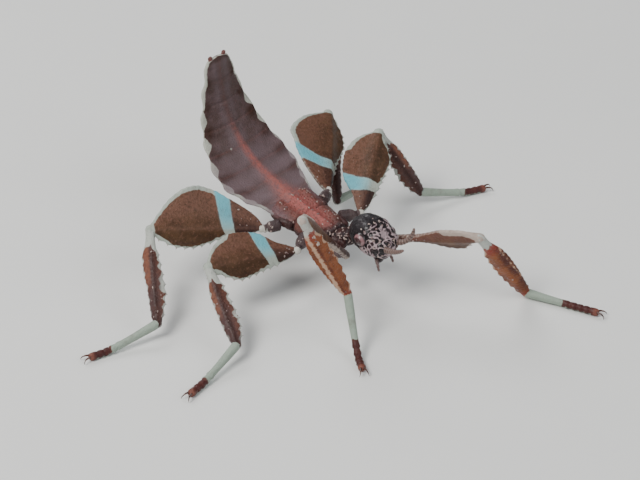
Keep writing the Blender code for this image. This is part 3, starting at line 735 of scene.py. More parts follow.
    def spines(self) -> tuple[Array, Array, Array, Array]:
        """Roots, outward directions, leans and sizes of the spines along the rims."""
        rows = []
        femur, tibia = self.blades()
        for blade, extensor, extra, first, full in ((femur, False, 0, 0.2, 0.12), (tibia, False, 0, 0.2, 0.1),
                                                    (tibia, True, 3, 0.25, 0.07)):
            number = blade.teeth + extra
            share = first + (0.95 - first) * (np.arange(number) + 0.68) / number
            roots, outwards = blade.rim_places(share, extensor)
            lean = np.repeat(blade.axis[None], number, axis=0)
            sizes = np.repeat(np.array(((full * 0.5, full * 0.42, full),)), number, axis=0)
            rows.append((roots - outwards * 0.04, outwards, lean, sizes))
        return tuple(np.concatenate(column) for column in zip(*rows))

    def claws(self) -> list[Array]:
        """Grids of the two hooked claws: circles that narrow along a quarter turn down to the floor."""
        toe = self.tarsus_path(np.array((0.97,)))[0]
        ahead = direction(self.tarsus_yaw, 0.0)
        across = np.array((-ahead[1], ahead[0], 0.0))
        grids = []
        for side in (-1.0, 1.0):
            turn = np.linspace(0.0, 1.0, 12)
            forward = ahead * (self.claw * np.sin(turn * 0.5 * math.pi))[:, None]
            sideways = across * (side * (0.08 + 0.16 * turn))[:, None]
            lift = 0.06 + 0.05 * np.sin(math.pi * turn) - 0.2 * turn ** 2
            path = toe + forward + sideways + np.array((0.0, 0.0, 1.0)) * lift[:, None]
            radius = mix(0.065, 0.012, turn ** 0.8)
            grids.append(tube(path, radius, radius, 10))
        return grids


LEGS = (
    Leg("front_right", PAIRS["front"], True, (-76.7, 48.9), (60.8, -64.8), -31.0, (50.0, 28.0), (-30.0, 28.0),
        None, ((0.2, 0.1), (0.33, 0.09), (0.45, 0.07), (0.6, 0.06), (0.74, 0.05), (0.93, 0.12)), (0.28, 0.085)),
    Leg("front_left", PAIRS["front"], False, (17.8, 19.0), (76.0, -57.0), 22.0, (-62.5, -26.0), (-46.0, -2.0),
        None, ((0.22, 0.08), (0.3, 0.08), (0.38, 0.07), (0.46, 0.08)), (0.44, 0.02)),
    Leg("middle_right", PAIRS["middle"], True, (-109.3, 5.3), (-21.0, -29.5), -81.0, (-44.0, 50.0), (-44.0, 50.0),
        Band(0.335, 0.05, 0.062), ((0.3, 0.09), (0.38, 0.05), (0.47, 0.13), (0.66, 0.17), (0.8, 0.06), (0.95, 0.08))),
    Leg("middle_left", PAIRS["middle"], False, (122.6, 24.7), (43.0, -58.9), 67.0, (-44.0, 36.0), (-44.0, 36.0),
        Band(0.33, 0.0, 0.07), ((0.36, 0.12), (0.56, 0.13), (0.62, 0.12), (0.84, 0.07))),
    Leg("hind_right", PAIRS["hind"], True, (-119.9, 9.4), (-37.7, -33.9), -105.7, (-44.0, 45.0), (-50.0, 45.0),
        Band(0.325, 0.03, 0.052), ((0.27, 0.09), (0.4, 0.11), (0.5, 0.08), (0.57, 0.19), (0.63, 0.21), (0.82, 0.07))),
    Leg("hind_left", PAIRS["hind"], False, (135.6, 8.6), (-37.9, -33.4), 102.0, (-20.0, 30.0), (-20.0, 60.0),
        Band(0.3, 0.06, 0.055), ((0.35, 0.1), (0.55, 0.17), (0.8, 0.07))),
)


@dataclass(frozen=True)
class Abdomen:
    """The abdomen: a leaf-shaped plate of seven segments that curls up over its length."""

    root: Triple = (0.0, 2.84, 3.02)
    length: float = 8.9
    root_slope: float = 12.0
    tip_slope: float = 84.0
    outline: Knots = ((-0.06, 1.4), (0.0, 1.55), (0.07, 1.75), (0.14, 2.03), (0.22, 2.23), (0.32, 2.26), (0.43, 2.07),
                      (0.59, 1.74), (0.72, 1.37), (0.88, 0.97), (0.96, 0.74), (1.0, 0.62))
    core: float = 0.4
    margin: float = 0.13
    segments: int = 7
    scallop: float = 0.09
    midrib: float = 0.1
    overlap: float = 0.5
    rows: int = 196
    columns: int = 64

    def slope(self, share: Array) -> Array:
        """Slope of the midline in radians: a smooth step from the root's to the tip's."""
        return np.radians(mix(self.root_slope, self.tip_slope, smooth(share / 0.92)))

    def half_width(self, share: Array) -> Array:
        """Outline through its knots, with a low scallop to each segment and a rounded tip."""
        phase = np.mod(np.clip(share, 0.0, 1.0) * self.segments, 1.0)
        bulge = smooth(phase / 0.6) * fall(phase, 0.68, 0.32)
        rounding = np.sqrt(np.clip(1.0 - ((share - 0.985) / 0.0165).clip(0.0) ** 2, 0.0004, 1.0))
        return (curve(self.outline, share) + self.scallop * bulge) * rounding

    def path(self, share: Array) -> tuple[Array, Array]:
        """Middle line of the plate and its upward normals: steps along the changing slope, summed."""
        slope = self.slope(share.clip(0.0))
        step = np.diff(share, prepend=0.0) * self.length
        along = np.stack((np.zeros_like(slope), np.cos(slope), np.sin(slope)), axis=-1)
        upward = np.stack((np.zeros_like(slope), -np.sin(slope), np.cos(slope)), axis=-1)
        return np.array(self.root) + np.cumsum(along * step[:, None], axis=0), upward

    def surface(self) -> Surface:
        """The abdomen's skin.

        Across the plate the offset is the half width times a cosine. The thickness
        is a margin's plus a dome over the middle, with a raised midrib, a soft step
        and a crease at each segment's end, and puckers that grow to the margin.

        Returns:
            The painted surface.
        """
        end = np.sin(np.linspace(0.0, 0.5 * math.pi, 17))[1:]
        share = np.concatenate((np.linspace(-self.overlap / self.length, 0.0, 8)[:-1],
                                np.linspace(0.0, 0.94, self.rows - 23), 0.94 + 0.0608 * end))
        path, upward = self.path(share)
        turn = even_turns(self.columns)
        full = self.half_width(share)[:, None]
        offset = full * np.sign(np.cos(turn)) * np.abs(np.cos(turn)) ** 0.85
        inner = full - np.abs(offset)
        spread = share[:, None] + 0.0 * offset
        phase = np.mod(spread * self.segments - 0.12 * np.square(offset / full), 1.0)
        dome = mix(self.core, self.margin, smooth(spread * 1.05)) - self.margin
        thick = self.margin + dome * (1.0 - smooth(np.abs(offset) / full))
        edge = np.minimum(phase, 1.0 - phase) * self.length / self.segments
        crease = 0.025 * smooth(phase / 0.9) - 0.022 * hill(edge, 0.09)
        rib = self.midrib * hill(offset, 0.15) * (1.0 - 0.6 * spread) + 0.02 * hill(np.abs(offset) - 0.34, 0.08)
        upper = np.sin(turn) > 0.0
        tip = fall(spread, 0.93, 0.06)
        thick = thick * np.sqrt(np.clip(inner.max(axis=1, keepdims=True) / 0.5, 0.0, 1.0))
        thick = thick + (crease * smooth(inner / 0.25) + np.where(upper, rib, 0.3 * rib)) * tip
        lift = thick * np.abs(np.sin(turn)) ** 0.5 * np.sign(np.sin(turn))
        pucker = 0.05 * np.sin(TURN * (phase + 0.15)) * np.square(offset / full) * tip
        trough = 0.1 * np.square(offset / full) * (1.0 - spread)
        points = path[:, None, :] + upward[:, None, :] * (lift + pucker + trough)[..., None]
        points[..., 0] = offset
        points = points + upward[:, None, :] * 0.012 * ripple(points, 0.5, SEED + 6)[..., None]
        return Surface(points, Coat.ABDOMEN, *self.tints(spread, offset, inner, phase, upper))

    def tints(self, share: Array, offset: Array, inner: Array, phase: Array, upper: Array) -> tuple[Array, ...]:
        """Fields of the abdomen's skin.

        Args:
            share: Share of the length.
            offset: Distance from the midline, to the left.
            inner: Distance to the margin.
            phase: Share of the segment's own length.
            upper: Whether it lies on the upper side.

        Returns:
            Pale patches along the margins, the lilac-grey middle lightened by a painted
            sheen, a red midline that flares at the root, and the dark sides.
        """
        right = curve(((0.0, 0.2), (0.15, 0.27), (0.35, 0.3), (0.52, 0.34), (0.65, 0.27), (0.8, 0.14), (1.0, 0.08)),
                      share)
        left = curve(((0.0, 0.2), (0.06, 0.24), (0.17, 0.26), (0.3, 0.12), (0.43, 0.14), (0.54, 0.26), (0.68, 0.3),
                      (0.8, 0.13), (1.0, 0.08)), share)
        spindle = 1.15 * np.sin(math.pi * np.clip((phase - 0.1) / 0.8, 0.0, 1.0)) ** 1.5
        steady = np.maximum(ramp(share, 0.7, 0.1), 0.55 * fall(share, 0.14, 0.1))
        margin = np.where(offset < 0.0, right, left) * np.maximum(spindle, steady)
        spot = 0.085 - np.hypot((share - 0.435) * self.length, offset + 0.66)
        pale = np.where(upper, np.maximum(margin - inner, spot), 0.6 * margin - inner)
        width = curve(((0.0, 0.6), (0.06, 0.42), (0.17, 0.26), (0.34, 0.15), (0.5, 0.1), (1.0, 0.08)), share)
        strength = curve(((0.0, 1.0), (0.4, 0.9), (0.5, 0.55), (0.62, 0.12), (1.0, 0.05)), share)
        veins = hill(np.minimum(phase, 1.0 - phase) * self.length / self.segments, 0.06)
        flush = np.clip(hill(offset, width) * strength + 0.07 * veins * fall(share, 0.5, 0.2), 0.0, 1.0)
        side = ramp(np.abs(offset) / (inner + np.abs(offset)), 0.55, 0.3)
        between = hill(np.minimum(phase, 1.0 - phase), 0.2)
        ends = 0.8 * ramp(share, 0.965, 0.02)
        dark = np.clip(1.1 * side * between + 0.3 * side + ends, 0.0, 1.0) * smooth(share / 0.12)
        # lighter lilac over the root and beside the midline: the cuticle's lilac-grey with a painted sheen on it,
        # weaker between the segments
        blue = (1.0 - 0.6 * between) * np.clip(0.85 * fall(share, 0.25, 0.3) +
                                               0.6 * hill(np.abs(offset) - 0.35, 0.2) * smooth(share / 0.6), 0.0, 1.0)
        return pale, blue, np.where(upper, flush, 0.25 * flush), dark

    def cerci(self) -> list[Surface]:
        """Two small flat lobes that stand out of the corners of the abdomen's tip."""
        share = np.linspace(0.0, 0.99, 120)
        path, upward = self.path(share)
        back = unit(path[-1] - path[-2])
        lobes = []
        for side in (-1.0, 1.0):
            heading = unit(back + np.array((side * 0.3, 0.0, 0.0)))
            corner = path[-1] + np.array((side * 0.42, 0.0, 0.0))
            shape = peg(corner, heading, 0.26, 0.1, (0.13, 0.08), 30, 14, 0.1, tuple(upward[-1]))
            lobes.append(Surface(shape, Coat.ABDOMEN, -0.1, flush=0.45, dark=0.4))
        return lobes


@dataclass(frozen=True)
class Thorax:
    """Three rings of the thorax and the neck, as one barrel along Y with grooves between the rings."""

    front: float = -1.95
    back: float = 2.72
    rows: int = 108
    columns: int = 48
    keel: float = 0.12
    grooves: tuple[float, ...] = (-0.8, 1.13)
    half_width: Knots = ((-1.95, 0.34), (-1.8, 0.47), (-1.4, 0.55), (-0.95, 0.54), (-0.8, 0.52), (-0.62, 0.78),
                         (-0.2, 1.04), (0.4, 1.2), (0.95, 1.24), (1.13, 1.18), (1.35, 1.26), (1.9, 1.38),
                         (2.4, 1.42), (2.72, 1.3))
    top: Knots = ((-1.95, 3.38), (-1.7, 3.42), (-1.0, 3.08), (-0.5, 2.98), (0.2, 3.06), (0.95, 3.18), (1.5, 3.24),
                  (2.72, 3.4))
    depth: Knots = ((-1.95, 0.8), (-1.0, 0.9), (-0.5, 1.0), (0.9, 1.1), (1.4, 1.08), (2.72, 0.92))

    def surface(self) -> Surface:
        """The thorax's skin: superellipse sections with a keel, side ridges and grooves between the rings."""
        span = self.back - self.front
        place, closing = round_ends(self.rows, span - 0.24, 0.12)
        y = self.front + 0.12 + place
        groove = sum(hill(y - at, 0.07) for at in self.grooves)
        crease = sum(hill(y - at - 0.42, 0.05) for at in self.grooves)
        closing = closing * (1.0 - 0.07 * groove)
        wide = curve(self.half_width, y) * closing
        depth = curve(self.depth, y) * closing
        middle = curve(self.top, y) - 0.5 * curve(self.depth, y) - 0.06 * groove - 0.02 * crease
        x, z = ellipse(self.columns, 0.8, 0.7)
        offset = wide[:, None] * x
        level = middle[:, None] + 0.5 * depth[:, None] * z
        above = np.clip(z, 0.0, 1.0)
        keel = self.keel * hill(offset, 0.13) * above * closing[:, None] ** 4
        ridge = 0.07 * hill(np.abs(offset) - 0.62 * wide[:, None], 0.1) * above * ramp(wide[:, None], 0.6, 0.4)
        valley = -0.07 * hill(np.abs(offset) - 0.3 * wide[:, None], 0.14) * above
        points = np.stack((offset, np.repeat(y[:, None], self.columns, axis=1), level + keel + ridge + valley),
                          axis=-1)
        points[..., 2] += 0.02 * ripple(points, 0.45, SEED + 3)
        back = points[..., 1]
        flare = curve(((-1.95, 0.1), (-0.6, 0.14), (-0.2, 0.3), (0.6, 0.48), (1.8, 0.62), (2.72, 0.62)), back)
        flush = hill(offset, flare) * smooth(above * 2.5) * smooth((back + 0.9) / 1.2)
        dark = np.clip(1.0 - smooth((back + 0.7) / 0.9) + 0.6 * groove[:, None], 0.0, 1.0)
        dark = np.maximum(dark, 0.75 * smooth((0.25 - above) / 0.3))
        side = ramp(np.abs(offset), 0.85, 0.35) * ramp(back, 0.9, 1.0) * smooth(above * 3.0)
        pale = 0.12 * ripple(points, 0.5, SEED + 5) - 0.2
        return Surface(points, Coat.THORAX, pale, side, flush, dark)

    def neck(self) -> Surface:
        """The neck: a short ringed tube from the front of the thorax up into the head."""
        length = 1.15
        place, closing = round_ends(48, length, 0.14)
        share = place / length
        start = np.array((0.0, -1.72, 3.05))
        path = start + np.outer(place, unit(np.array((0.03, -0.72, 0.62))))
        radius = (0.3 + 0.025 * np.sin(share * 5.0 * TURN)) * closing
        return Surface(tube(path, radius, radius, 22), Coat.THORAX, -0.2, dark=1.0)

    def plates(self) -> list[Surface]:
        """Side plates: low rounded pads on the flanks above each coxa, tinted dark as painted shade."""
        pads = []
        for x, y, z in ((1.0, -0.15, 2.6), (1.26, 1.6, 2.76), (0.52, -1.45, 2.82)):
            for side in (-1.0, 1.0):
                heading = np.array((side * 0.25, 1.0, 0.05))
                shape = peg(np.array((side * x, y, z)), heading, 0.6, 0.14, (0.2, 0.24), 30, 20)
                # the dark tint is painted shade, standing for the shadow on the flanks by the coxae
                pads.append(Surface(shape, Coat.THORAX, -0.12, dark=0.8))
        return pads

    def surfaces(self) -> list[Surface]:
        """Every stretch of the thorax's skin."""
        return [self.surface(), self.neck(), *self.plates()]


@dataclass(frozen=True)
class Head:
    """The head: a rounded box tilted forwards, with eyes at its sides, feelers and mouthparts."""

    centre: Triple = (0.0, -3.35, 3.95)
    half: Triple = (1.0, 1.26, 0.84)
    pitch: float = -14.0
    yaw: float = 4.0
    eye_radius: float = 0.35
    eye_side: float = 0.78
    eye_ahead: float = 0.15
    eye_above: float = 0.14
    feeler: float = 1.6
    feeler_joints: int = 9
    rows: int = 112
    columns: int = 108

    def turn(self) -> Array:
        """Matrix that tilts the head about X and then turns it about Z."""
        tilt = math.radians(-self.pitch)
        yaw = math.radians(self.yaw)
        lean = np.array(((1, 0, 0), (0, math.cos(tilt), -math.sin(tilt)), (0, math.sin(tilt), math.cos(tilt))))
        spin = np.array(((math.cos(yaw), -math.sin(yaw), 0), (math.sin(yaw), math.cos(yaw), 0), (0, 0, 1)))
        return spin @ lean

    def point(self, local: Array) -> Array:
        """Places in the head's own frame, set in the insect's."""
        return np.array(self.centre) + local @ self.turn().T

    def skull(self) -> Surface:
        """The head capsule.

        Sections along the head are superellipses whose size is a power of a sine.
        Hollows are pressed in round the eyes, brow bumps and a lip rise above, and
        winding pale crests run over the front and the top. A pale patch on the upper
        front is a painted highlight.

        Returns:
            The painted surface.
        """
        along = np.linspace(0.02, 0.98, self.rows)[:, None] * math.pi
        x, z = ellipse(self.columns, 0.88, 0.92)
        size = np.sin(along) ** 0.72
        y = np.cos(along) * self.half[1] + 0.0 * x
        wide = self.half[0] * size * x
        tall = self.half[2] * size * z
        socket = hill(y - self.eye_ahead, 0.46) * hill(tall - self.eye_above, 0.42)
        wide = wide * (1.0 - 0.26 * socket * smooth(np.abs(x) * 1.6 - 0.6))
        above = np.clip(z, 0.0, 1.0)
        brow = 0.09 * hill(y - 0.15, 0.38) * hill(np.abs(wide) - 0.5, 0.2) * above
        furrow = -0.1 * hill(wide, 0.13) * hill(y + 0.2, 0.55) * above
        nape = 0.07 * hill(y - 0.75, 0.22) * above * hill(np.abs(wide) - 0.3, 0.22)
        muzzle = -0.08 * hill(y + 0.75, 0.12) * np.clip(z + 0.4, 0.0, 1.0)
        local = np.stack((wide, y, tall + brow + furrow + nape + muzzle), axis=-1)
        front = smooth((0.3 - y) / 0.35) * smooth((tall + 0.75) / 0.35)
        crest = worms(local, 0.4, SEED + 7) * front
        relief = 0.045 * crest + 0.012 * ripple(local, 0.12, SEED + 8)
        local = local * (1.0 + relief[..., None])
        # painted highlight: distance from a glossy spot on the upper front, which the pale field below turns pale
        # within 0.16
        highlight_reach = np.linalg.norm((local - np.array((-0.1, -0.6, 0.62))) / np.array((1.5, 1.5, 1.6)), axis=-1)
        mark = crest * (1.15 + 0.4 * ripple(local, 0.6, SEED + 9)) - 0.55
        pale = np.maximum(0.16 * mark, np.maximum(0.16 - highlight_reach, -0.3))
        flush = 0.8 * smooth(ripple(local, 0.5, SEED + 10)) * front
        blue = 0.8 * (1.0 - front) * smooth(y / 0.5) * above
        return Surface(self.point(local), Coat.HEAD, pale, blue, flush, 0.3)

    def jaws(self) -> list[Surface]:
        """The upper lip, two jaws and the lower lip, as rounded plates under the front of the head."""
        forms = (((0.0, -0.98, -0.52), (0.34, 0.14, 0.26)), ((0.2, -0.78, -0.78), (0.2, 0.24, 0.3)),
                 ((-0.2, -0.78, -0.78), (0.2, 0.24, 0.3)), ((0.0, -0.52, -0.92), (0.27, 0.12, 0.26)))
        surfaces = []
        for centre, half in forms:
            along = np.linspace(0.03, 0.97, 26)[:, None] * math.pi
            x, z = ellipse(24, 0.8, 0.8)
            ring = np.sin(along) ** 0.8
            local = np.stack((half[0] * ring * x, half[1] * ring * z, half[2] * np.cos(along) + 0.0 * x), axis=-1)
            shape = self.point(local + np.array(centre))
            surfaces.append(Surface(shape, Coat.HEAD, 0.1 * ripple(shape, 0.3, SEED) - 0.15, flush=0.3))
        return surfaces

    def limb(self, root: Array, yaws: Span, pitches: Span, length: float, joints: int,
             radii: Span) -> Array:
        """A jointed feeler or palp: a tube whose heading turns evenly and whose radius dips at each joint.

        Args:
            root: Where it leaves the head.
            yaws: Heading at the root and at the tip.
            pitches: Lift at the root and at the tip.
            length: Length along its middle.
            joints: Number of beads.
            radii: Radius at the root and at the tip.

        Returns:
            A grid of points.
        """
        rows = joints * BEAD_ROWS + 1
        share = np.linspace(0.0, 1.0, rows)
        turn = np.radians(mix(yaws[0], yaws[1], share))
        lift = np.radians(mix(pitches[0], pitches[1], share))
        heading = np.stack((np.sin(turn) * np.cos(lift), -np.cos(turn) * np.cos(lift), np.sin(lift)), axis=-1)
        path = root + np.cumsum(heading, axis=0) * length / rows
        radius = mix(radii[0], radii[1], share) * mix(0.66, 1.0, self.bead(share, joints))
        radius = radius * np.sqrt(1.0 - share ** 12)
        return tube(path, radius, radius, 14)

    def bead(self, share: Array, joints: int) -> Array:
        """Swelling of each bead along a limb: 0 at the joints and 1 between them."""
        return np.abs(np.sin(share * joints * math.pi)) ** 0.5

    def feelers(self) -> dict[str, Array]:
        """Grids of the two feelers, by side."""
        held = {"left": (1.0, (8.0, 40.0), (14.0, 88.0)), "right": (-1.0, (-8.0, -4.0), (14.0, 44.0))}
        grids = {}
        for word, (side, yaws, pitches) in held.items():
            root = self.point(np.array((side * 0.42, -1.12, 0.2)))
            grids[word] = self.limb(root, yaws, pitches, self.feeler, self.feeler_joints, (0.17, 0.09))
        return grids

    def palps(self) -> list[Array]:
        """Grids of the four palps beside the mouth."""
        grids = []
        for side in (1.0, -1.0):
            outer = self.point(np.array((side * 0.36, -0.72, -0.72)))
            inner = self.point(np.array((side * 0.14, -0.5, -1.0)))
            grids.append(self.limb(outer, (side * 40.0, side * 5.0), (-40.0, -78.0), 0.75, 4, (0.1, 0.065)))
            grids.append(self.limb(inner, (side * 25.0, side * 10.0), (-50.0, -80.0), 0.42, 3, (0.08, 0.055)))
        return grids

    def eye(self, side: float) -> tuple[Array, Array]:
        """Grid of one domed eye about its outward axis, and each point's distance from that axis."""
        along = np.linspace(0.02, 0.98, 40)[:, None] * math.pi
        x, z = ellipse(44)
        ring = np.sin(along)
        local = np.stack((side * self.eye_radius * np.cos(along) + 0.0 * x,
                          self.eye_radius * 1.05 * ring * x, self.eye_radius * 0.95 * ring * z), axis=-1)
        local = local + np.array((side * self.eye_side, self.eye_ahead, self.eye_above))
        return self.point(local), np.repeat(np.where(along < 0.5 * math.pi, ring, 2.0 - ring), 44, axis=1)


class Shader:
    """A short way to add and join nodes in one material or node group."""

    def __init__(self, tree: bpy.types.NodeTree) -> None:
        """Keep the tree that the nodes go in."""
        self.tree = tree

    def add(self, kind: str, settings: dict[str, object] | None = None, **inputs: object) -> bpy.types.Node:
        """Add a node.

        Args:
            kind: Blender's name of the node type.
            settings: Node properties by name.
            **inputs: What its inputs are fed, with underscores for the spaces in their names.

        Returns:
            The new node.
        """
        node = self.tree.nodes.new(kind)
        for key, value in (settings or {}).items():
            setattr(node, key, value)
        self.feed(node, **inputs)
        return node

    def feed(self, node: bpy.types.Node, **inputs: object) -> None:
        """Give a node's inputs values or sockets, by name or, after the letter i, by number."""
        for key, value in inputs.items():
            socket = node.inputs[int(key[1:]) if key[1:].isdigit() else key.replace("_", " ")]
            if isinstance(value, bpy.types.NodeSocket):
                self.tree.links.new(value, socket)
            else:
                socket.default_value = value

    def math(self, operation: str, *values: object) -> bpy.types.NodeSocket:
        """Result of one Math node on values or sockets."""
        inputs = {f"i{number}": value for number, value in enumerate(values)}
        return self.add("ShaderNodeMath", {"operation": operation}, **inputs).outputs[0]

    def blend(self, share: object, low: object, high: object) -> bpy.types.NodeSocket:
        """Mix of two colours by a share."""
        node = self.add("ShaderNodeMix", {"data_type": "RGBA"}, i0=share, i6=low, i7=high)
        return node.outputs[2]

    def step(self, value: object, low: float, high: float) -> bpy.types.NodeSocket:
        """Smooth step of a value between two limits."""
        node = self.add("ShaderNodeMapRange", {"interpolation_type": "SMOOTHSTEP"}, Value=value, From_Min=low,
                        From_Max=high)
        return node.outputs[0]

    def noise(self, place: object, scale: object, detail: float = 4.0) -> bpy.types.NodeSocket:
        """Value of a noise texture at a place."""
        node = self.add("ShaderNodeTexNoise", {}, Vector=place, Scale=scale, Detail=detail, Roughness=0.6)
        return node.outputs["Fac"]

    def painted(self, attribute: str) -> bpy.types.NodeSocket:
        """Value of a field painted on the mesh."""
        return self.add("ShaderNodeAttribute", {"attribute_name": attribute}).outputs["Fac"]


class Finish(Shader):
    """A material under way: its shader and the place on the object that its textures follow."""

    def __init__(self, name: str) -> None:
        """Start the material."""
        self.material = bpy.data.materials.new(name)
        self.material.use_nodes = True
        super().__init__(self.material.node_tree)
        self.shader = self.tree.nodes["Principled BSDF"]
        self.place = self.add("ShaderNodeTexCoord").outputs["Object"]

    def relief(self, height: bpy.types.NodeSocket, strength: float, distance: float, invert: bool = False) -> None:
        """Bend the shader's normal by a height, over a distance in metres."""
        bump = self.add("ShaderNodeBump", {"invert": invert}, Strength=strength, Distance=distance, Height=height)
        self.feed(self.shader, Normal=bump.outputs["Normal"])

    def wear(self, colour: object, roughness: object, **others: float) -> bpy.types.Material:
        """Give the shader its colour, roughness and other inputs, and hand over the material."""
        self.feed(self.shader, Base_Color=colour, Roughness=roughness, **others)
        return self.material


def new_group(name: str, inputs: dict[str, tuple[str, object]], outputs: dict[str, str]) -> bpy.types.NodeTree:
    """Make a shader node group with named sockets.

    Args:
        name: Name of the group.
        inputs: Socket type and starting value by name.
        outputs: Socket type by name.

    Returns:
        The node tree, with its input and output nodes.
    """
    tree = bpy.data.node_groups.new(name, "ShaderNodeTree")
    for key, (kind, value) in inputs.items():
        socket = tree.interface.new_socket(name=key, in_out="INPUT", socket_type=kind)
        if kind != "NodeSocketVector":
            socket.default_value = value
    for key, kind in outputs.items():
        tree.interface.new_socket(name=key, in_out="OUTPUT", socket_type=kind)
    tree.nodes.new("NodeGroupInput")
    tree.nodes.new("NodeGroupOutput")
    return tree


def pigment_group() -> bpy.types.NodeTree:
    """Cuticle colour: a mottled ground, darkened and flushed by painted fields, under ragged pale patches."""
    colours = {name: ("NodeSocketColor", (0.5, 0.5, 0.5, 1.0)) for name in PIGMENTS}
    names = [f"{tint.value.title()} Field" for tint in Tint] + ["Ragged", "Fleck"]
    numbers = {name: ("NodeSocketFloat", 0.0) for name in names}
    place = {"Place": ("NodeSocketVector", None)}
    tree = new_group("cuticle_pigment", {**place, **colours, **numbers},
                     {"Color": "NodeSocketColor", "Mask": "NodeSocketFloat", "Speckle": "NodeSocketFloat"})
    made = Shader(tree)
    given = tree.nodes["Group Input"].outputs
    broad = made.noise(given["Place"], 1500.0)
    fine = made.noise(given["Place"], 7000.0, 3.0)
    ground = made.blend(made.step(broad, 0.36, 0.66), given["Ground"], given["Mottle"])
    speck = made.step(fine, 0.54, 0.68)
    ground = made.blend(made.math("MULTIPLY", speck, given["Fleck"]), ground, given["Flush"])
    dusk = made.math("MULTIPLY", given["Dark Field"], made.step(broad, 0.1, 0.6))
    ground = made.blend(dusk, ground, given["Dark"])
    bloom = made.math("MULTIPLY", given["Blue Field"], 0.5)
    ground = made.blend(bloom, ground, given["Blue"])
    ruddy = made.math("MULTIPLY", given["Flush Field"], made.step(fine, 0.15, 0.62))
    ground = made.blend(ruddy, ground, given["Flush"])
    edge = made.math("MULTIPLY", made.math("SUBTRACT", fine, 0.5), given["Ragged"])
    mask = made.step(made.math("ADD", given["Pale Field"], edge), -0.025, 0.035)
    chalk = made.blend(given["Blue Field"], given["Pale"], given["Blue"])
    chalk = made.blend(made.math("MULTIPLY", made.step(broad, 0.5, 0.75), 0.3), chalk, ground)
    final = made.blend(mask, ground, chalk)
    ends = tree.nodes["Group Output"].inputs
    tree.links.new(final, ends["Color"])
    tree.links.new(mask, ends["Mask"])
    tree.links.new(fine, ends["Speckle"])
    return tree


def grain_group() -> bpy.types.NodeTree:
    """Cuticle relief: close-set granules from cells, over soft swells, with fine pits."""
    tree = new_group("cuticle_grain", {"Place": ("NodeSocketVector", None), "Granule": ("NodeSocketFloat", 0.5),
                                       "Size": ("NodeSocketFloat", 9000.0)}, {"Height": "NodeSocketFloat"})
    made = Shader(tree)
    given = tree.nodes["Group Input"].outputs
    cells = made.add("ShaderNodeTexVoronoi", {"feature": "SMOOTH_F1"}, Vector=given["Place"], Scale=given["Size"],
                     Smoothness=0.4, Randomness=0.9).outputs["Distance"]
    domes = made.math("MULTIPLY", made.math("SUBTRACT", 1.0, made.step(cells, 0.1, 0.6)), given["Granule"])
    swells = made.math("MULTIPLY", made.noise(given["Place"], 2600.0), 0.5)
    pits = made.math("MULTIPLY", made.noise(given["Place"], 21000.0, 2.0), 0.18)
    total = made.math("ADD", made.math("ADD", domes, swells), pits)
    tree.links.new(total, tree.nodes["Group Output"].inputs["Height"])
    return tree


@dataclass(frozen=True)
class Cuticle:
    """A finish of the insect's skin: its six colours, its gloss, its grain and how much the flush flecks it."""

    name: str
    ground: Triple
    mottle: Triple
    pale: Triple
    blue: Triple
    flush: Triple
    dark: Triple
    roughness: float = 0.5
    ragged: float = 0.14
    granule: float = 0.5
    size: float = 9000.0
    coat: float = 0.03
    fleck: float = 0.3

    def material(self, pigment: bpy.types.NodeTree, grain: bpy.types.NodeTree) -> bpy.types.Material:
        """Build the material.

        Args:
            pigment: The colour group.
            grain: The relief group.

        Returns:
            The material.
        """
        made = Finish(self.name)
        colours = {key: (*getattr(self, key.lower()), 1.0) for key in PIGMENTS}
        fields = {f"{tint.value.title()}_Field": made.painted(tint.value) for tint in Tint}
        paint = made.add("ShaderNodeGroup", {"node_tree": pigment}, Place=made.place, Ragged=self.ragged,
                         Fleck=self.fleck, **colours, **fields)
        grains = made.add("ShaderNodeGroup", {"node_tree": grain}, Place=made.place, Granule=self.granule,
                          Size=self.size)
        made.relief(grains.outputs["Height"], strength=0.75, distance=0.00005)
        gloss = made.math("MULTIPLY_ADD", paint.outputs["Speckle"], 0.3, self.roughness - 0.15)
        gloss = made.math("ADD", gloss, made.math("MULTIPLY", paint.outputs["Mask"], 0.08))
        return made.wear(paint.outputs["Color"], gloss, Coat_Weight=self.coat, Coat_Roughness=0.25,
                         Specular_IOR_Level=0.25)


MINT = (0.4, 0.44, 0.39)
SKY = (0.14, 0.42, 0.5)

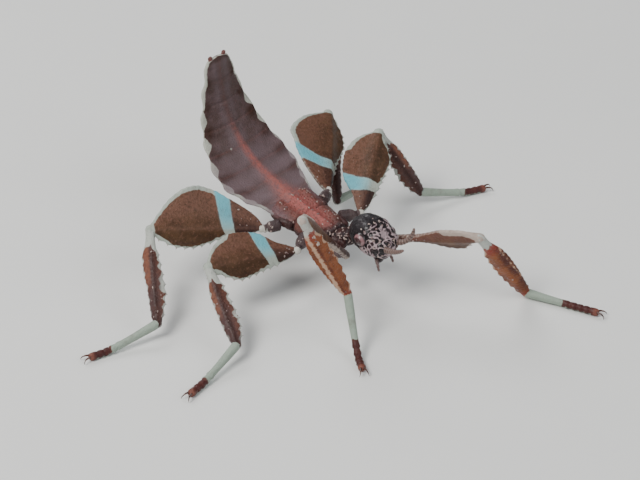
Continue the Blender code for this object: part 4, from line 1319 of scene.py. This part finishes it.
CUTICLES = {
    # The abdomen's blue colour is the light lilac of its painted sheen.
    Coat.ABDOMEN: Cuticle("abdomen_cuticle", (0.1, 0.062, 0.064), (0.075, 0.044, 0.04), (0.46, 0.47, 0.41),
                          (0.2, 0.15, 0.17), (0.33, 0.105, 0.09), (0.042, 0.015, 0.009), 0.5, 0.12, 0.3, fleck=0.06),
    Coat.THORAX: Cuticle("thorax_cuticle", (0.09, 0.035, 0.028), (0.13, 0.05, 0.04), (0.5, 0.4, 0.33),
                         (0.15, 0.1, 0.12), (0.36, 0.1, 0.09), (0.02, 0.01, 0.012), 0.45, 0.2, 0.8, 7000.0),
    Coat.HEAD: Cuticle("head_cuticle", (0.008, 0.006, 0.0075), (0.018, 0.012, 0.015), (0.4, 0.3, 0.32),
                       (0.05, 0.045, 0.05), (0.05, 0.02, 0.026), (0.005, 0.004, 0.005), 0.34, 0.2, 0.5, 7500.0, 0.25),
    Coat.COXA: Cuticle("coxa_cuticle", (0.07, 0.045, 0.045), (0.12, 0.09, 0.09), (0.6, 0.58, 0.52),
                       (0.2, 0.2, 0.22), (0.1, 0.06, 0.06), (0.03, 0.018, 0.02), 0.42, 0.14, 0.7, 8000.0),
    Coat.FEMUR: Cuticle("femur_cuticle", (0.05, 0.024, 0.011), (0.085, 0.042, 0.02), MINT, SKY,
                        (0.17, 0.078, 0.052), (0.028, 0.01, 0.009), 0.5, 0.1, 0.4, fleck=0.55),
    Coat.FRONT_FEMUR: Cuticle("front_femur_cuticle", (0.085, 0.04, 0.024), (0.16, 0.08, 0.04), (0.46, 0.38, 0.33),
                              SKY, (0.16, 0.065, 0.05), (0.035, 0.014, 0.014), 0.48, 0.14, 0.5),
    Coat.TIBIA: Cuticle("tibia_cuticle", (0.075, 0.025, 0.018), (0.1, 0.05, 0.045), (0.45, 0.47, 0.43),
                        (0.08, 0.055, 0.06), (0.2, 0.075, 0.045), (0.03, 0.009, 0.007), 0.46, 0.11, 0.5),
    Coat.FRONT_TIBIA: Cuticle("front_tibia_cuticle", (0.26, 0.08, 0.026), (0.15, 0.042, 0.016), (0.5, 0.32, 0.22),
                              (0.5, 0.52, 0.48), (0.26, 0.045, 0.03), (0.075, 0.016, 0.01), 0.42, 0.12, 0.6),
    Coat.TARSUS: Cuticle("tarsus_cuticle", (0.12, 0.034, 0.024), (0.08, 0.028, 0.022), (0.3, 0.36, 0.3), SKY,
                         (0.2, 0.07, 0.05), (0.06, 0.015, 0.014), 0.45, 0.1, 0.4),
}


@dataclass(frozen=True)
class Horn:
    """A small hard piece's finish: two colours that change over a painted or noisy field."""

    name: str
    low: Triple
    high: Triple
    roughness: float
    coat: float
    attribute: str = ""
    grain: float = 9000.0

    def material(self) -> bpy.types.Material:
        """Build the material, with its colour from the attribute or else from noise."""
        made = Finish(self.name)
        fine = made.noise(made.place, self.grain)
        share = made.step(fine, 0.3, 0.7)
        if self.attribute:
            speck = made.math("MULTIPLY", made.math("SUBTRACT", fine, 0.5), 0.35)
            share = made.math("ADD", made.painted(self.attribute), speck)
        made.relief(fine, strength=0.5, distance=0.00003)
        return made.wear(made.blend(share, (*self.low, 1.0), (*self.high, 1.0)),
                         made.math("MULTIPLY_ADD", fine, 0.2, self.roughness - 0.1), Coat_Weight=self.coat)


@dataclass(frozen=True)
class EyeFinish:
    """The eyes: a rosy rim round a dark red middle, under fine facets."""

    name: str = "eye_facets"
    rim: Triple = (0.26, 0.13, 0.14)
    middle: Triple = (0.04, 0.01, 0.012)
    socket: Triple = (0.02, 0.012, 0.014)
    facet: float = 26000.0

    def material(self) -> bpy.types.Material:
        """Build the material: colour by distance from the eye's axis, relief from small cells."""
        made = Finish(self.name)
        reach = made.painted("reach")
        cells = made.add("ShaderNodeTexVoronoi", {"feature": "F1"}, Vector=made.place, Scale=self.facet,
                         Randomness=0.25).outputs["Distance"]
        speck = made.math("MULTIPLY", made.math("SUBTRACT", made.noise(made.place, 6000.0), 0.5), 0.3)
        ring = made.step(made.math("ADD", reach, speck), 0.52, 0.7)
        colour = made.blend(ring, (*self.middle, 1.0), (*self.rim, 1.0))
        colour = made.blend(made.step(reach, 0.86, 0.96), colour, (*self.socket, 1.0))
        made.relief(cells, strength=0.5, distance=0.00002, invert=True)
        return made.wear(colour, made.math("MULTIPLY_ADD", cells, 0.2, 0.16), Coat_Weight=0.6, Coat_Roughness=0.08)


class Skin:
    """One closed skin over every soft part of the insect."""

    def __init__(self, surfaces: list[Surface]) -> None:
        """Keep the overlapping surfaces that the skin is made of."""
        self.surfaces = surfaces

    def build(self, name: str) -> bpy.types.Object:
        """Unite the surfaces into one mesh that keeps their painted fields and finishes.

        Args:
            name: Name of the piece.

        Returns:
            The skin's object.
        """
        pigment = pigment_group()
        grain = grain_group()
        finishes = {coat: CUTICLES[coat].material(pigment, grain) for coat in Coat}
        shells = [self.shell(number, part, finishes[part.coat]) for number, part in enumerate(self.surfaces)]
        group = bpy.data.collections.new("skin_parts")
        bpy.context.scene.collection.children.link(group)
        for shell in shells[1:]:
            group.objects.link(shell)
        union = shells[0].modifiers.new("union", "BOOLEAN")
        for key, value in (("operation", "UNION"), ("operand_type", "COLLECTION"), ("collection", group),
                           ("solver", "MANIFOLD"), ("material_mode", "TRANSFER")):
            setattr(union, key, value)
        bpy.context.view_layer.update()
        graph = bpy.context.evaluated_depsgraph_get()
        mesh = bpy.data.meshes.new_from_object(shells[0].evaluated_get(graph))
        for shell in shells:
            bpy.data.objects.remove(shell, do_unlink=True)
        bpy.data.collections.remove(group)
        mesh.name = name
        self.fill_seams(mesh)
        mesh.shade_smooth()
        mesh.set_sharp_from_angle(angle=math.radians(SHARP_CREASE))
        return linked(name, mesh)

    def shell(self, number: int, part: Surface, finish: bpy.types.Material) -> bpy.types.Object:
        """One surface as a closed mesh, with its fields and a mark on each of its own vertices."""
        vertices, faces = close_tube(part.points)
        return write_mesh(f"shell_{number}", vertices, faces, finish,
                          {**part.fields(), "known": np.ones(len(vertices))})

    def fill_seams(self, mesh: bpy.types.Mesh) -> None:
        """Give the vertices that the union made the mean of their known neighbours' fields."""
        edges = np.empty(len(mesh.edges) * 2, dtype=np.int32)
        mesh.edges.foreach_get("vertices", edges)
        edges = edges.reshape(-1, 2)
        known = np.empty(len(mesh.vertices), dtype=np.float32)
        mesh.attributes["known"].data.foreach_get("value", known)
        sure = known > 0.99
        both = np.concatenate((edges, edges[:, ::-1]))
        both = both[sure[both[:, 0]] & ~sure[both[:, 1]]]
        count = np.bincount(both[:, 1], minlength=len(known))
        for tint in Tint:
            layer = mesh.attributes[tint.value]
            values = np.empty(len(known), dtype=np.float32)
            layer.data.foreach_get("value", values)
            total = np.bincount(both[:, 1], weights=values[both[:, 0]], minlength=len(known))
            mended = np.where(~sure & (count > 0), total / np.maximum(count, 1), values)
            layer.data.foreach_set("value", mended.astype(np.float32))
        mesh.attributes.remove(mesh.attributes["known"])
        LOG.info("skin: %d vertices, %d made by the union", len(known), int((~sure).sum()))


@dataclass(frozen=True)
class Trim:
    """Grains, spines and claws that stand on the skin."""

    head: Head
    thorax: Thorax
    legs: tuple[Leg, ...]

    def grains(self) -> bpy.types.Object:
        """Rounded pale grains on the head, the thorax, the coxae and the front femora."""
        draw = np.random.default_rng(SEED)
        rows = [self.head_grains(draw), self.thorax_grains(draw)]
        rows += [self.leg_grains(leg, draw) for leg in self.legs]
        places, normals, sizes = (np.concatenate(column) for column in zip(*rows))
        leans = draw.normal(size=places.shape)
        vertices, faces = place_copies(grain_form(), places, normals, leans, sizes)
        shade = np.repeat(draw.uniform(0.0, 1.0, len(places)), len(grain_form()[0]))
        finish = Horn("grain_cuticle", (0.14, 0.07, 0.07), (0.48, 0.38, 0.34), 0.35, 0.3, "shade")
        return write_mesh("grains", vertices, faces, finish.material(), {"shade": shade})

    def sized(self, count: int, low: float, high: float, flat: float, draw: np.random.Generator) -> Array:
        """Sizes of grains: a drawn radius, stretched a little one way, with its own flatness."""
        radius = draw.uniform(low, high, count)
        return np.stack((radius * draw.uniform(1.0, 1.9, count), radius, radius * flat), axis=-1)

    def head_grains(self, draw: np.random.Generator) -> tuple[Array, Array, Array]:
        """A few low grains over the top and front of the head, clear of the eyes."""
        skull = self.head.skull()
        local = (skull.points - np.array(self.head.centre)) @ self.head.turn()
        gap = np.hypot(local[..., 1] - self.head.eye_ahead, local[..., 2] - self.head.eye_above)
        clear = ramp(gap, 0.4, 0.1)
        weight = clear * smooth((0.75 - local[..., 1]) / 0.5) * smooth((local[..., 2] + 0.7) / 0.4)
        count = 70
        return *skull.scatter(weight, count, draw), self.sized(count, 0.03, 0.06, 0.6, draw)

    def thorax_grains(self, draw: np.random.Generator) -> tuple[Array, Array, Array]:
        """Grains over the first ring and along the ridges of the others."""
        barrel = self.thorax.surface()
        x, y, z = np.moveaxis(barrel.points, -1, 0)
        wide = curve(self.thorax.half_width, y)
        first = smooth((-0.9 - y) / 0.2) * ramp(z, 2.7, 0.2)
        ridges = 0.55 * hill(np.abs(x) - 0.64 * wide, 0.1) * ramp(z, 2.75, 0.2)
        middle = 0.35 * hill(x, 0.1) * ramp(z, 2.9, 0.1)
        count = 170
        return (*barrel.scatter(first + ridges + middle + 0.02, count, draw),
                self.sized(count, 0.025, 0.055, 0.7, draw))

    def leg_grains(self, leg: Leg, draw: np.random.Generator) -> tuple[Array, Array, Array]:
        """Grains on the coxa, the stalk of the femur and the ridge of the tibia."""
        coxa = leg.coxa()
        count = 12
        rows = [(*coxa.scatter(np.ones(coxa.points.shape[:2]), count, draw),
                 self.sized(count, 0.025, 0.055, 0.8, draw))]
        stalk = (40, 0.55) if leg.pair.femur_coat is Coat.FRONT_FEMUR else (14, 0.3)
        for part, count, until in ((leg.femur(), *stalk), (leg.tibia(), 26, 0.95)):
            share = np.linspace(0.0, 1.0, part.points.shape[0])[:, None]
            weight = smooth((until - share) / 0.1) * smooth(share / 0.08) + 0.0 * part.points[..., 0]
            rows.append((*part.scatter(weight + 1e-6, count, draw), self.sized(count, 0.022, 0.045, 0.8, draw)))
        return tuple(np.concatenate(column) for column in zip(*rows))

    def spines(self) -> bpy.types.Object:
        """Short leaning spines along the rims of the legs."""
        columns = [np.concatenate(column) for column in zip(*(leg.spines() for leg in self.legs))]
        vertices, faces = place_copies(spine_form(), *columns)
        finish = Horn("spine_cuticle", (0.36, 0.28, 0.26), (0.5, 0.47, 0.43), 0.4, 0.1)
        return write_mesh("spines", vertices, faces, finish.material())

    def claws(self) -> bpy.types.Object:
        """The two claws of each foot."""
        grids = [grid for leg in self.legs for grid in leg.claws()]
        return joined("claws", grids, Horn("claw_horn", (0.03, 0.012, 0.01), (0.1, 0.03, 0.02), 0.25, 0.5).material())


def joined(name: str, grids: list[Array], finish: bpy.types.Material) -> bpy.types.Object:
    """Several closed tubes as one mesh."""
    vertices = []
    faces = []
    count = 0
    for grid in grids:
        points, corners = close_tube(grid)
        faces += [[corner + count for corner in face] for face in corners]
        vertices.append(points)
        count += len(points)
    return write_mesh(name, np.concatenate(vertices), faces, finish)


@dataclass(frozen=True)
class Studio:
    """The floor, the lights and the camera."""

    azimuth: float = -44.4
    elevation: float = 36.45
    distance: float = 148.0
    lens: float = 166.5
    target: Triple = (-0.77, -0.37, 2.5)

    def aim(self, thing: bpy.types.Object, turned: Span, distance: float, target: Vector) -> None:
        """Set a lamp or the camera, upright, at a distance from a target and facing it.

        Args:
            thing: The object to place.
            turned: Yaw and pitch from the target to the object.
            distance: How far away it is, in millimetres.
            target: The place it faces, in metres in the loaded frame.
        """
        away = Vector(direction(*turned))
        thing.location = target + away * distance * MM
        thing.rotation_euler = (-away).to_track_quat("-Z", "Y").to_euler()

    def camera(self) -> None:
        """Place the camera on its line of sight to the target."""
        data = bpy.data.cameras.new("camera")
        data.lens = self.lens
        data.sensor_width = 36.0
        data.clip_start = 0.005
        data.clip_end = 5.0
        camera = linked("camera", data)
        self.aim(camera, (self.azimuth, self.elevation), self.distance,
                 Vector((np.array(self.target) + MODEL_SHIFT) * MM))
        bpy.context.scene.camera = camera

    def light(self, name: str, turned: Span, distance: float, size: float, power: float, colour: Triple) -> None:
        """Add a square soft light that faces the middle of the floor under the insect."""
        data = bpy.data.lights.new(name, "AREA")
        data.size = size * MM
        data.energy = power
        data.color = colour
        self.aim(linked(name, data), turned, distance, Vector())

    def floor(self) -> None:
        """A wide pale floor just under the feet, with its half side and its level in metres."""
        mesh = bpy.data.meshes.new("floor")
        half = 0.6
        level = -2e-5
        corners = ((-half, -half), (half, -half), (half, half), (-half, half))
        mesh.from_pydata([(*corner, level) for corner in corners], [], [(0, 1, 2, 3)])
        made = Finish("floor_finish")
        shade = made.blend(made.noise(made.place, 90.0), (0.78, 0.79, 0.78, 1.0), (0.83, 0.83, 0.82, 1.0))
        mesh.materials.append(made.wear(shade, 0.8))
        linked("floor", mesh)

    def build(self) -> None:
        """Set up the whole studio."""
        self.floor()
        self.camera()
        for name, turned, distance, size, power, colour in (
                ("key_light", (-95.0, 52.0), 220.0, 90.0, 0.45, (1.0, 0.98, 0.95)),
                ("fill_light", (20.0, 40.0), 260.0, 160.0, 0.22, (0.95, 0.98, 1.0)),
                ("back_light", (165.0, 45.0), 240.0, 120.0, 0.24, (1.0, 1.0, 1.0))):
            self.light(name, turned, distance, size, power, colour)
        world = bpy.data.worlds.new("studio")
        world.use_nodes = True
        tree = world.node_tree
        Shader(tree).feed(tree.nodes["Background"], Color=(0.9, 0.93, 0.96, 1.0), Strength=0.17)
        bpy.context.scene.world = world


def settle(piece: bpy.types.Object, slot: str, *nodes: str) -> None:
    """Let a finished piece ride on the body and stand for its nodes.

    Args:
        piece: The finished piece.
        slot: The record's material slot; not used.
        *nodes: The nodes that it stands for.
    """
    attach(piece, "root")
    if nodes:
        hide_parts(*nodes)
    LOG.info("%s: %d faces, stands for %d nodes", piece.name, len(piece.data.polygons), len(nodes))


def main() -> None:
    """Build every piece in order."""
    logging.basicConfig(level=logging.INFO, format="%(message)s")
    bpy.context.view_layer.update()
    Studio().build()
    abdomen = Abdomen()
    thorax = Thorax()
    head = Head()
    surfaces = [thorax.surface(), abdomen.surface(), *abdomen.cerci(), thorax.neck(), *thorax.plates(),
                head.skull(), *head.jaws()]
    for leg in LEGS:
        surfaces += leg.surfaces()
    apart = ("eye_left", "eye_right", "antenna_left", "antenna_right")
    flesh = [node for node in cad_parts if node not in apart]
    settle(Skin(surfaces).build("insect_skin"), "abdomen_cuticle", *flesh)
    eye_finish = EyeFinish().material()
    for side, word in ((1.0, "left"), (-1.0, "right")):
        grid, reach = head.eye(side)
        vertices, faces = close_tube(grid)
        fields = {"reach": np.concatenate((reach.ravel(), (reach[0, 0], reach[-1, 0])))}
        settle(write_mesh(f"{word}_eye", vertices, faces, eye_finish, fields), "eye", f"eye_{word}")
    feeler_finish = Horn("feeler_cuticle", (0.03, 0.012, 0.012), (0.2, 0.13, 0.11), 0.4, 0.1, "bead").material()
    for word, grid in head.feelers().items():
        vertices, faces = close_tube(grid)
        bead = np.repeat(head.bead(np.linspace(0.0, 1.0, len(grid)), head.feeler_joints), grid.shape[1])
        fields = {"bead": ramp(np.concatenate((bead, (0.0, 0.4))), 0.45, 0.4)}
        settle(write_mesh(f"{word}_feeler", vertices, faces, feeler_finish, fields), "antenna_cuticle",
               f"antenna_{word}")
    palp_finish = Horn("palp_cuticle", (0.05, 0.025, 0.025), (0.2, 0.12, 0.11), 0.4, 0.2).material()
    settle(joined("palps", head.palps(), palp_finish), "head_cuticle")
    trim = Trim(head, thorax, LEGS)
    settle(trim.grains(), "head_cuticle")
    settle(trim.spines(), "femur_cuticle")
    settle(trim.claws(), "tarsus_cuticle")


if __name__ == "__main__":
    main()
